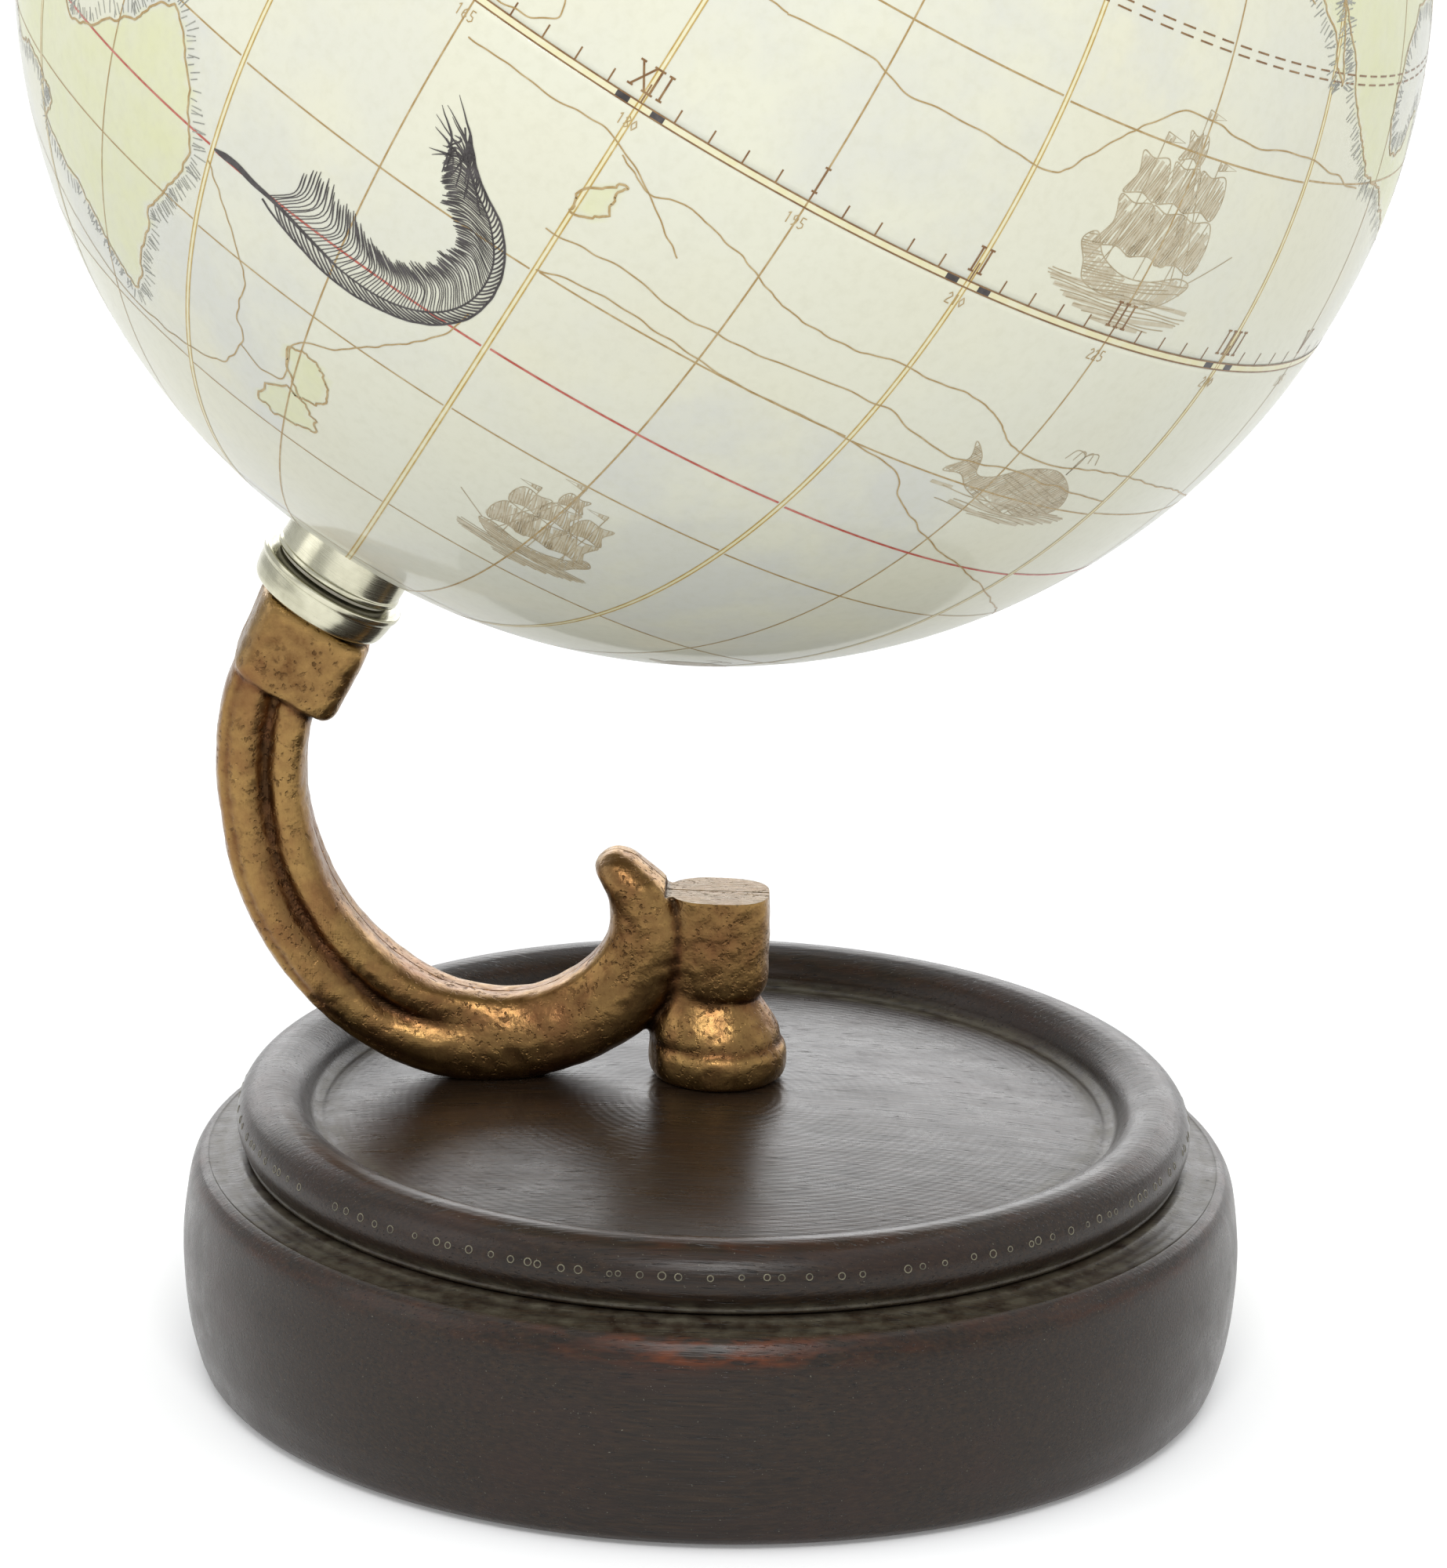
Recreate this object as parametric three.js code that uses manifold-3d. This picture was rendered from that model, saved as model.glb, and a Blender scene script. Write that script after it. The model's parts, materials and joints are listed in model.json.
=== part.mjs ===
// A desktop globe: a hollow ball that spins on a tilted steel axle, held from below by a cast bronze
// arm that stands on a turned wooden base. Millimetres, +Z up, origin at the middle of the felt's underside.
import * as THREE from 'three';
import { mergeVertices } from 'three/addons/utils/BufferGeometryUtils.js';
import Module from 'manifold-3d';

const wasm = await Module();
wasm.setup();

// Driving dimensions.
const GAP = 0.3; // clearance wherever two pieces rest on or pass through each other

const BALL_R = 101.5; // an eight-inch ball
const BALL_WALL = 2;
const BALL_X = -3; // the ball's centre, measured from the base's axis
const BALL_Z = 211;
const ARM_Y = 10; // the arm's mid-plane stands a little behind the base's axis
const TILT = THREE.MathUtils.degToRad(30); // axle, leaning to +X at its top

const DRUM_R = 77.6; // widest point of the base's bulged side
const DRUM_FOOT_R = 74.6;
const DRUM_SHOULDER_R = 75.6;
const DRUM_TOP = 33.4;
const SHOULDER_Z = 31.8;
const DRUM_FOOT_Z = 0.8; // the felt stands this far proud of the wood

const FELT_R = 70;
const FELT_THICK = 1.5;

const BEAD_CENTRE_R = 64.5; // rounded rim of the tier
const BEAD_R = 5.4;
const BEAD_Z = 38.2;
const DISH_R = 57.5;
const DISH_EDGE_Z = 38.9;
const DISH_MIDDLE_Z = 41.9;

const ARM_DEPTH = 13; // front to back
const SLEEVE_DEPTH = 16;
const ARM_EDGE = 1; // rounding of the casting's edges
const BLOCK_TOP_Z = 70.1;
const BLOCK_X = [-7.6, 7.2];
const FOOT_R = 10.3;
const FOOT_HEIGHT = 5.4;
const NECK_R = 6.6;
const NECK_Z = 55;

const BOLT_R = 3;
const BOLT_HEAD_Z = 14;
const BOLT_END_Z = 60;
const BELLY_X = -32;
const BELLY_SCREW_R = 2;
const BELLY_SCREW_END_Z = 48;
const TIER_SCREW_CIRCLE_R = 46;
const TIER_SCREW_COUNT = 3;
const TIER_SCREW_R = 2.2;

// Distances along the axle, from the ball's centre to the south.
const AXLE_R = 3;
const COLLAR_R = 10;
const COLLAR_START = 96;
const COLLAR_END = 108.3;
const WASHER_END = 108.95;
const RING_START = 109.2;
const RING_END = 114.4;
const RING_TOP_R = 11.4;
const RING_FOOT_R = 10;
const SLEEVE_START = RING_END + GAP;
const SLEEVE_LENGTH = 13;
const AXLE_END = 126;
const NUT_START = 118;
const NUT_THICK = 5;
const NUT_R = 5.6;

// Distances along the axle, from the ball's centre to the north.
const NORTH_BUSH_START = 92;
const NORTH_BUSH_END = 103;
const TOP_WASHER_END = 104.3;
const SPRING_END = 106;
const FINIAL_END = 118;
const NORTH_AXLE_END = 113;

const BUSH_R = 6.5;
const ROUND_STEPS = 20; // sides of a small round piece
const BASE_STEPS = 48;
const BALL_STEPS = 48;

// ---- materials -------------------------------------------------------------------------------------

function finish(colour, roughness, metalness) {
  return new THREE.MeshStandardMaterial({ color: colour, roughness, metalness });
}

const stainedWood = () => finish('#3a302a', 0.45, 0);
const bronze = () => finish('#7a5a30', 0.4, 1);
const aluminium = () => finish('#d8dccb', 0.25, 1);
const steel = () => finish('#a9abac', 0.35, 1);
const ballPrint = () => finish('#dedfcb', 0.2, 0);
const nylon = () => finish('#e6e2d6', 0.5, 0);
const greenFelt = () => finish('#2c3a30', 0.95, 0);

// ---- shapes ----------------------------------------------------------------------------------------

const v2 = (x, y) => new THREE.Vector2(x, y);

/** A solid turned about Z from a profile of [radius, height] points, listed from the bottom upwards. */
function turned(profile, steps = ROUND_STEPS) {
  const points = profile.map((p) => (p.isVector2 ? p : v2(...p)));
  return new THREE.LatheGeometry(points, steps).rotateX(Math.PI / 2);
}

/** A tube or ring about Z: its profile is a closed rectangle. */
function ring(inner, outer, bottom, top, steps = ROUND_STEPS) {
  return turned([[inner, bottom], [outer, bottom], [outer, top], [inner, top], [inner, bottom]], steps);
}

/** A plain round rod about Z. */
function rod(radius, bottom, top, steps = ROUND_STEPS) {
  return turned([[0, bottom], [radius, bottom], [radius, top], [0, top]], steps);
}

/** Points on an arc about (cx, cy), angles in degrees. */
function arc(cx, cy, radius, from, to, count) {
  return Array.from({ length: count + 1 }, (_, i) => {
    const angle = THREE.MathUtils.degToRad(from + ((to - from) * i) / count);
    return v2(cx + radius * Math.cos(angle), cy + radius * Math.sin(angle));
  });
}

/** Points on a smooth curve through a few given ones. */
function smooth(points, count) {
  return new THREE.SplineCurve(points.map((p) => v2(...p))).getPoints(count);
}

/** A closed shape in the XZ plane, extruded equally to both sides of the plane y = middle. */
function slab(outline, depth, edge, middle) {
  const geometry = new THREE.ExtrudeGeometry(new THREE.Shape(outline), {
    depth: depth - 2 * edge,
    bevelEnabled: edge > 0,
    bevelThickness: edge,
    bevelSize: edge,
    bevelOffset: -edge,
    bevelSegments: 3,
    curveSegments: 8,
  });
  geometry.translate(0, 0, -(depth - 2 * edge) / 2);
  return geometry.rotateX(Math.PI / 2).translate(0, middle, 0);
}

// ---- joining and cutting ---------------------------------------------------------------------------

function solid(geometry) {
  const bare = geometry.clone();
  bare.deleteAttribute('normal');
  bare.deleteAttribute('uv');
  const welded = mergeVertices(bare, 1e-4);
  const mesh = new wasm.Mesh({
    numProp: 3,
    vertProperties: new Float32Array(welded.attributes.position.array),
    triVerts: new Uint32Array(welded.index.array),
  });
  return new wasm.Manifold(mesh);
}

function geometryOf(manifold) {
  const mesh = manifold.getMesh();
  const geometry = new THREE.BufferGeometry();
  geometry.setAttribute('position', new THREE.BufferAttribute(mesh.vertProperties, 3));
  geometry.setIndex(new THREE.BufferAttribute(mesh.triVerts, 1));
  geometry.computeVertexNormals();
  return geometry;
}

/** The first geometry with the others cut out of it. */
function cut(geometry, ...tools) {
  return geometryOf(tools.reduce((body, tool) => body.subtract(solid(tool)), solid(geometry)));
}

// ---- the frame of the tilted axle ------------------------------------------------------------------

const axleFrame = new THREE.Group();
axleFrame.position.set(BALL_X, ARM_Y, BALL_Z);
axleFrame.rotation.y = TILT;
axleFrame.updateMatrix();

/** A shape given in the axle's frame, moved to the object's frame. */
const fromAxle = (geometry) => geometry.clone().applyMatrix4(axleFrame.matrix);

/** A point in the arm's plane, given by its distance south along the axle and its offset to +X. */
function armPoint(south, across) {
  const point = new THREE.Vector3(across, 0, -south).applyMatrix4(axleFrame.matrix);
  return v2(point.x, point.z);
}

const globeDesk = new THREE.Group();
globeDesk.add(axleFrame);

function place(name, geometry, material, parent = globeDesk) {
  const mesh = new THREE.Mesh(geometry, material);
  mesh.name = name;
  parent.add(mesh);
  return mesh;
}

// ---- base ------------------------------------------------------------------------------------------

function dishHeight(radius) {
  return DISH_MIDDLE_Z - (DISH_MIDDLE_Z - DISH_EDGE_Z) * (radius / DISH_R) ** 2;
}

const screwSpots = Array.from({ length: TIER_SCREW_COUNT }, (_, i) => {
  const angle = THREE.MathUtils.degToRad(-90 + (360 / TIER_SCREW_COUNT) * i);
  return [TIER_SCREW_CIRCLE_R * Math.cos(angle), TIER_SCREW_CIRCLE_R * Math.sin(angle)];
});

function buildBase() {
  const recessTop = FELT_THICK + GAP;
  const side = smooth([
    [DRUM_FOOT_R, DRUM_FOOT_Z + 0.8], [76.6, 8], [DRUM_R, 20], [76.9, 27.5], [DRUM_SHOULDER_R, SHOULDER_Z],
  ], 8);
  const ledge = smooth([[DRUM_SHOULDER_R - 0.6, 32.3], [73.6, 32.6], [71.6, 33.1], [70.4, DRUM_TOP]], 5);
  const drum = turned([
    [0, recessTop], [FELT_R + GAP, recessTop], [FELT_R + GAP, DRUM_FOOT_Z], [DRUM_FOOT_R - 0.8, DRUM_FOOT_Z],
    ...side, ...ledge, [0, DRUM_TOP],
  ], BASE_STEPS);

  const tierFoot = DRUM_TOP + GAP;
  const bead = arc(BEAD_CENTRE_R, BEAD_Z, BEAD_R, -38, 166, 9);
  const dish = [57.5, 50, 40, 30, 20, 10, 0].map((radius) => [radius, dishHeight(radius)]);
  const tier = turned([
    [0, tierFoot], [68.6, tierFoot], ...bead, [58.7, 39.2], ...dish,
  ], BASE_STEPS);

  const boltHead = rod(10.5, 0, BOLT_HEAD_Z + 1.6).translate(0, ARM_Y, 0);
  const boltHole = rod(BOLT_R + GAP, 0, 50).translate(0, ARM_Y, 0);
  const bellyHead = rod(6.5, 0, BOLT_HEAD_Z + 1).translate(BELLY_X, ARM_Y, 0);
  const bellyHole = rod(BELLY_SCREW_R + GAP, 0, 50).translate(BELLY_X, ARM_Y, 0);
  const screwHeads = screwSpots.map(([x, y]) => rod(5.5, 0, 12.6).translate(x, y, 0));
  const screwHoles = screwSpots.map(([x, y]) => rod(TIER_SCREW_R + GAP, 0, 37.3).translate(x, y, 0));

  place('base_drum', cut(drum, boltHead, boltHole, bellyHead, bellyHole, ...screwHeads, ...screwHoles),
    stainedWood());
  place('base_tier', cut(tier, boltHole, bellyHole, ...screwHoles), stainedWood());
  place('felt_pad', rod(FELT_R, 0, FELT_THICK, BASE_STEPS), greenFelt());

  screwSpots.forEach(([x, y], i) => {
    const screw = turned([[0, 9], [3.4, 9], [4.2, 9.8], [TIER_SCREW_R, 12.2], [TIER_SCREW_R, 34.5], [0, 37]]);
    place(`tier_screw_${i + 1}`, screw.translate(x, y, 0), steel());
  });
}

// ---- fixings of the arm ----------------------------------------------------------------------------

/** A cap screw standing head down: socket-free round head, plain shank. */
function capScrew(shankR, headR, headHeight, seat, end) {
  return turned([
    [0, seat - headHeight], [headR - 0.6, seat - headHeight], [headR, seat - headHeight + 0.6],
    [headR, seat], [shankR, seat], [shankR, end - 1], [shankR - 0.8, end], [0, end],
  ]);
}

function buildArmFixings() {
  const at = (geometry, x) => geometry.translate(x, ARM_Y, 0);
  place('arm_bolt', at(capScrew(BOLT_R, 5, 6, BOLT_HEAD_Z - GAP, BOLT_END_Z), 0), steel());
  place('arm_bolt_washer', at(ring(BOLT_R + GAP, 9.5, BOLT_HEAD_Z, BOLT_HEAD_Z + 1.3), 0), steel());
  place('belly_screw', at(capScrew(BELLY_SCREW_R, 3.5, 4, BOLT_HEAD_Z - GAP, BELLY_SCREW_END_Z), BELLY_X),
    steel());
  place('belly_screw_washer', at(ring(BELLY_SCREW_R + GAP, 6, BOLT_HEAD_Z, BOLT_HEAD_Z + 0.8), BELLY_X),
    steel());
}

// ---- arm -------------------------------------------------------------------------------------------

function armOutline() {
  const outer = smooth([
    [-71.6, 104], [-74, 96], [-74.4, 88.7], [-72.3, 72.3], [-64.5, 56.7], [-51, 45.2], [-33, 41.2],
    [-20, 43.9], [-10, 49],
  ], 26);
  const inner = smooth([
    [-17.9, 71.6], [-16, 67.5], [-16.6, 62.6], [-21.5, 57.2], [-31.5, 53.4], [-43, 56.1], [-54.4, 65.9],
    [-60.2, 77.5], [-61.3, 88], [-60, 99],
  ], 26);
  const thumb = arc(-16.2, 74, 2.6, 60, 175, 5);
  const block = [v2(BLOCK_X[1], NECK_Z), v2(BLOCK_X[1], BLOCK_TOP_Z), v2(BLOCK_X[0], BLOCK_TOP_Z)];
  return [...outer, v2(-5, NECK_Z - 6), v2(5, NECK_Z - 6), ...block, ...thumb, ...inner];
}

function buildArm() {
  const footZ = DISH_MIDDLE_Z + GAP;
  const bow = slab(armOutline(), ARM_DEPTH, ARM_EDGE, ARM_Y);
  const sleeve = slab([
    armPoint(SLEEVE_START, -8.1), armPoint(SLEEVE_START + SLEEVE_LENGTH, -6.4),
    armPoint(SLEEVE_START + SLEEVE_LENGTH, 10.9), armPoint(SLEEVE_START, 9.9),
  ], SLEEVE_DEPTH, 2, ARM_Y);
  const foot = turned([
    [0, footZ], [FOOT_R - 1.2, footZ], ...arc(FOOT_R - 1.2, footZ + 1.2, 1.2, -60, 0, 3),
    [FOOT_R, footZ + FOOT_HEIGHT - 1.2], [FOOT_R - 0.8, footZ + FOOT_HEIGHT], [8.4, footZ + 8],
    [NECK_R, NECK_Z - 1], [NECK_R - 0.4, NECK_Z + 3], [0, NECK_Z + 3],
  ], 28).translate(0, ARM_Y, 0);
  const casting = solid(bow).add(solid(sleeve)).add(solid(foot));

  const axleBore = fromAxle(rod(AXLE_R + GAP, -AXLE_END - 2, -SLEEVE_START + 10));
  const nutPocket = fromAxle(rod(NUT_R + GAP, -NUT_START - NUT_THICK - GAP, -NUT_START + GAP, 6));
  const boltBore = rod(BOLT_R + GAP, footZ - 5, BOLT_END_Z + 1).translate(0, ARM_Y, 0);
  const bellyBore = rod(BELLY_SCREW_R + GAP, 30, BELLY_SCREW_END_Z + 1).translate(BELLY_X, ARM_Y, 0);
  const bored = [axleBore, nutPocket, boltBore, bellyBore].reduce(
    (body, tool) => body.subtract(solid(tool)), casting);

  const reach = 400;
  const halfSpace = (side) => new THREE.BoxGeometry(reach, reach / 2, reach)
    .translate(0, ARM_Y + side * (reach / 4 + GAP / 2), 0);
  place('arm_front_half', geometryOf(bored.intersect(solid(halfSpace(-1)))), bronze());
  place('arm_rear_half', geometryOf(bored.intersect(solid(halfSpace(1)))), bronze());
}

// ---- axle, collar and finial -----------------------------------------------------------------------

function buildAxle() {
  place('axle_rod', rod(AXLE_R, -AXLE_END, NORTH_AXLE_END), steel(), axleFrame);
  const nutBore = (AXLE_R + GAP) / Math.cos(Math.PI / 6); // the six-sided bore clears the round rod
  place('axle_lock_nut', ring(nutBore, NUT_R, -NUT_START - NUT_THICK, -NUT_START, 6), steel(), axleFrame);
  const bore = AXLE_R + GAP;
  const lower = -RING_END;
  place('collar_ring', turned([
    [bore, lower], [RING_FOOT_R - 0.8, lower], [RING_FOOT_R, lower + 0.6], [RING_FOOT_R + 1.1, -110.9],
    [RING_TOP_R, -109.9], [RING_TOP_R - 0.3, -RING_START], [bore, -RING_START], [bore, lower],
  ], 28), aluminium(), axleFrame);
  place('thrust_washer', ring(bore, COLLAR_R - 1, -WASHER_END, -COLLAR_END - GAP / 2), nylon(), axleFrame);

  place('top_washer', ring(bore, 7.5, NORTH_BUSH_END + GAP, TOP_WASHER_END), steel(), axleFrame);
  place('top_spring_washer', ring(bore, 5.6, TOP_WASHER_END + GAP, SPRING_END), steel(), axleFrame);
  const seat = SPRING_END + GAP;
  place('north_finial', turned([
    [bore, seat], [6.6, seat], [7, seat + 0.5], [7, seat + 3], [6, seat + 3.8], [5, seat + 4.6],
    ...arc(0, FINIAL_END - 5.4, 5.4, 0, 90, 8), [0, NORTH_AXLE_END + 1.5], [bore, NORTH_AXLE_END + 0.5],
    [bore, seat],
  ]), aluminium(), axleFrame);
}

// ---- ball ------------------------------------------------------------------------------------------

/** Half of the hollow ball about Z, from a round hole at its pole to its flat rim. */
function halfBall(holeRadius, isSouth) {
  const inner = BALL_R - BALL_WALL;
  const rim = THREE.MathUtils.radToDeg(Math.asin(GAP / 2 / inner));
  const outerPole = THREE.MathUtils.radToDeg(Math.acos(holeRadius / BALL_R));
  const innerPole = THREE.MathUtils.radToDeg(Math.acos(holeRadius / inner));
  const rings = 8;
  const outerArc = arc(0, 0, BALL_R, rim, outerPole, rings);
  const innerArc = arc(0, 0, inner, innerPole, rim, rings);
  const geometry = turned([...outerArc, ...innerArc, outerArc[0]], BALL_STEPS);
  return isSouth ? geometry.rotateX(Math.PI) : geometry;
}

function buildBall() {
  place('globe_south_half', halfBall(COLLAR_R + GAP, true), ballPrint(), axleFrame);
  place('globe_north_half', halfBall(BUSH_R + GAP, false), ballPrint(), axleFrame);
  const seatR = BALL_R - BALL_WALL - 1;
  place('equator_ring', ring(seatR - 2, seatR, -6, 6, BALL_STEPS), nylon(), axleFrame);
  place('globe_collar', turned([
    [BUSH_R + GAP, -COLLAR_END], [COLLAR_R - 0.6, -COLLAR_END], [COLLAR_R, -COLLAR_END + 0.6],
    [COLLAR_R, -COLLAR_START - 2], [COLLAR_R + 4, -COLLAR_START - 2], [COLLAR_R + 4, -COLLAR_START],
    [BUSH_R + GAP, -COLLAR_START], [BUSH_R + GAP, -COLLAR_END],
  ], 28), aluminium(), axleFrame);
  place('south_bush', ring(AXLE_R + GAP, BUSH_R, -COLLAR_END + GAP, -COLLAR_START + 2), nylon(), axleFrame);
  place('north_bush', turned([
    [AXLE_R + GAP, NORTH_BUSH_START], [9.5, NORTH_BUSH_START], [9.5, NORTH_BUSH_START + 3],
    [BUSH_R, NORTH_BUSH_START + 3], [BUSH_R, NORTH_BUSH_END], [AXLE_R + GAP, NORTH_BUSH_END],
    [AXLE_R + GAP, NORTH_BUSH_START],
  ]), nylon(), axleFrame);
}

buildBase();
buildArmFixings();
buildArm();
buildAxle();
buildBall();

export default globeDesk;
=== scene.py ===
"""Looks of a desktop globe on a turned wooden stand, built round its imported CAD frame."""
import json
import logging
import math
import sys
from dataclasses import dataclass
from enum import Enum

import bmesh
import bpy
import numpy as np
from mathutils import Matrix, Vector

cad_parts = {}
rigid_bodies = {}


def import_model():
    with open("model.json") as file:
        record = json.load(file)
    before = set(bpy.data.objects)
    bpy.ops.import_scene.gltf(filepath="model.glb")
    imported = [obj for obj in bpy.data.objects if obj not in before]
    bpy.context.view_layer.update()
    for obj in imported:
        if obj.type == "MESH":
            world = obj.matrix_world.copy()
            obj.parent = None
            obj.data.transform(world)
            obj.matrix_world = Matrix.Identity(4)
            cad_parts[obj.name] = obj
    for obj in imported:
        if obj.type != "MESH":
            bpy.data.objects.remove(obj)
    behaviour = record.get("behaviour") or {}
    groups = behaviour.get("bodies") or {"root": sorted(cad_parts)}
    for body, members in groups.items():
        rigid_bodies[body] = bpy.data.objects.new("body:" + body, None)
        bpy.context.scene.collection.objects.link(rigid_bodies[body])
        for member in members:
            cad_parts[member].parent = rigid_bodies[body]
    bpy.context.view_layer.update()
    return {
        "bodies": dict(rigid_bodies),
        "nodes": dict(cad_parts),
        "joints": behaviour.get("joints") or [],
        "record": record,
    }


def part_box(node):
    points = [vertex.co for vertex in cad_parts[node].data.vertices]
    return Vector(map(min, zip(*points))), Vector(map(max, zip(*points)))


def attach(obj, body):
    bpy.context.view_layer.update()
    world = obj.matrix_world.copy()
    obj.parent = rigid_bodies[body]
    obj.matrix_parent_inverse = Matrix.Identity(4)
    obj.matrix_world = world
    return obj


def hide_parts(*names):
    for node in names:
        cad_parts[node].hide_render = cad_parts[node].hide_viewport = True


log = logging.getLogger("globe")

MM = 0.001  # every size below is in millimetres, and meshes are in metres
Socket = bpy.types.NodeSocket
Triple = tuple[float, float, float]
COLOUR = {"data_type": "RGBA"}  # settings of a Mix node that mixes colours
FACTOR, BELOW, ABOVE, MIXED = 0, 6, 7, 2  # its sockets


class Body(Enum):
    """The two rigid bodies of the frame."""

    STAND = "stand"
    GLOBE = "globe"


class Slot(Enum):
    """The record's material slots."""

    WOOD = "base_wood"
    FELT = "felt"
    STEEL = "steel"
    BRONZE = "arm_bronze"
    COLLAR = "collar_metal"
    NYLON = "nylon"
    PRINT = "globe_print"


# ---- finishes ----


def srgb(code: str) -> tuple[float, float, float, float]:
    """Turn an sRGB hex colour into the linear colour that shaders use.

    Args:
        code: Colour as "#rrggbb".

    Returns:
        Linear red, green, blue and an alpha of 1.
    """
    parts = np.array([int(code[i:i + 2], 16) for i in (1, 3, 5)]) / 255.0
    linear = np.where(parts <= 0.04045, parts / 12.92, ((parts + 0.055) / 1.055) ** 2.4)
    return (*linear.tolist(), 1.0)


class Recipe:
    """The shader nodes of one finish, while they are being written."""

    def __init__(self, name: str) -> None:
        """Start a material that holds a Principled shader.

        Args:
            name: Common name of the real material.
        """
        self.material = bpy.data.materials.new(name)
        self.material.use_nodes = True
        self.tree = self.material.node_tree
        self.shader = self.tree.nodes["Principled BSDF"]

    def add(self, kind: str, settings: dict | None = None, inputs: dict | None = None,
            out: int | str = 0, stops: list[tuple[float, str]] | None = None) -> Socket:
        """Add one node with its settings and links.

        Args:
            kind: Blender's type name without "ShaderNode".
            settings: Node attributes by name.
            inputs: Numbers to set or outputs to link, by input name or index.
            out: The output wanted.
            stops: Positions and hex colours, where the node has a colour ramp.

        Returns:
            That output.
        """
        node = self.tree.nodes.new("ShaderNode" + kind)
        for name, value in (settings or {}).items():
            setattr(node, name, value)
        for name, value in (inputs or {}).items():
            if isinstance(value, Socket):
                self.tree.links.new(value, node.inputs[name])
            else:
                node.inputs[name].default_value = value
        for _ in (stops or [])[2:]:
            node.color_ramp.elements.new(0.5)
        for element, (position, colour) in zip(node.color_ramp.elements if stops else [], stops or []):
            element.position = position
            element.color = srgb(colour)
        return node.outputs[out]

    def cells(self, size: Triple, turn: Triple = (0.0, 0.0, 0.0)) -> Socket:
        """Object coordinates counted in cells.

        Args:
            size: Size of a cell along X, Y and Z, in mm.
            turn: Turn of the cells, in radians.

        Returns:
            The coordinates.
        """
        scale = tuple(1.0 / (s * MM) for s in size)
        place = self.add("TexCoord", out="Object")
        return self.add("Mapping", inputs={"Vector": place, "Scale": scale, "Rotation": turn})

    def cloud(self, size: Triple, low: float = 0.3, high: float = 0.7, to: tuple[float, float] = (0.0, 1.0),
              detail: float = 3.0, turn: Triple = (0.0, 0.0, 0.0)) -> Socket:
        """Uneven patches.

        Args:
            size: Size of a patch along X, Y and Z, in mm.
            low: Noise level that gives the first end value.
            high: Noise level that gives the second end value.
            to: The two end values.
            detail: How many finer layers are added.
            turn: Turn of the patches, in radians.

        Returns:
            A value held between the two ends.
        """
        level = self.add("TexNoise", inputs={"Vector": self.cells(size, turn), "Scale": 1.0,
                                             "Detail": detail, "Roughness": 0.6})
        return self.add("MapRange", inputs={"Value": level, "From Min": low, "From Max": high,
                                            "To Min": to[0], "To Max": to[1]})

    def along(self, name: str) -> Socket:
        """A value painted on the mesh under a name, held between 0 and 1."""
        level = self.add("Attribute", {"attribute_name": name}, out="Fac")
        return self.add("MapRange", inputs={"Value": level})

    def both(self, *masks: Socket | float) -> Socket:
        """Multiply masks.

        Args:
            masks: Outputs or numbers from 0 to 1.

        Returns:
            Their product.
        """
        product = masks[0]
        for mask in masks[1:]:
            product = self.add("Math", {"operation": "MULTIPLY"}, {0: product, 1: mask})
        return product

    def over(self, tone: Socket, colour: str, *masks: Socket | float) -> Socket:
        """Lay a colour over a tone wherever all the masks are high."""
        return self.add("Mix", COLOUR, {FACTOR: self.both(*masks), BELOW: tone, ABOVE: srgb(colour)}, MIXED)

    def relief(self, *layers: tuple[Socket, float]) -> Socket:
        """Raise the surface by several layers.

        Args:
            layers: Each layer's height from 0 to 1, and its depth in mm.

        Returns:
            The raised surface's normal.
        """
        normal = None
        for height, depth in layers:
            inputs = {"Height": height, "Distance": depth * MM, "Strength": 1.0}
            if normal is not None:
                inputs["Normal"] = normal
            normal = self.add("Bump", inputs=inputs)
        return normal

    def finish(self, **inputs: Socket | float) -> bpy.types.Material:
        """Set the Principled shader and give the material.

        Args:
            inputs: Numbers or outputs by input name, with "_" for a space.

        Returns:
            The material.
        """
        for name, value in inputs.items():
            target = self.shader.inputs[name.replace("_", " ")]
            if isinstance(value, Socket):
                self.tree.links.new(value, target)
            else:
                target.default_value = value
        return self.material


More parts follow.
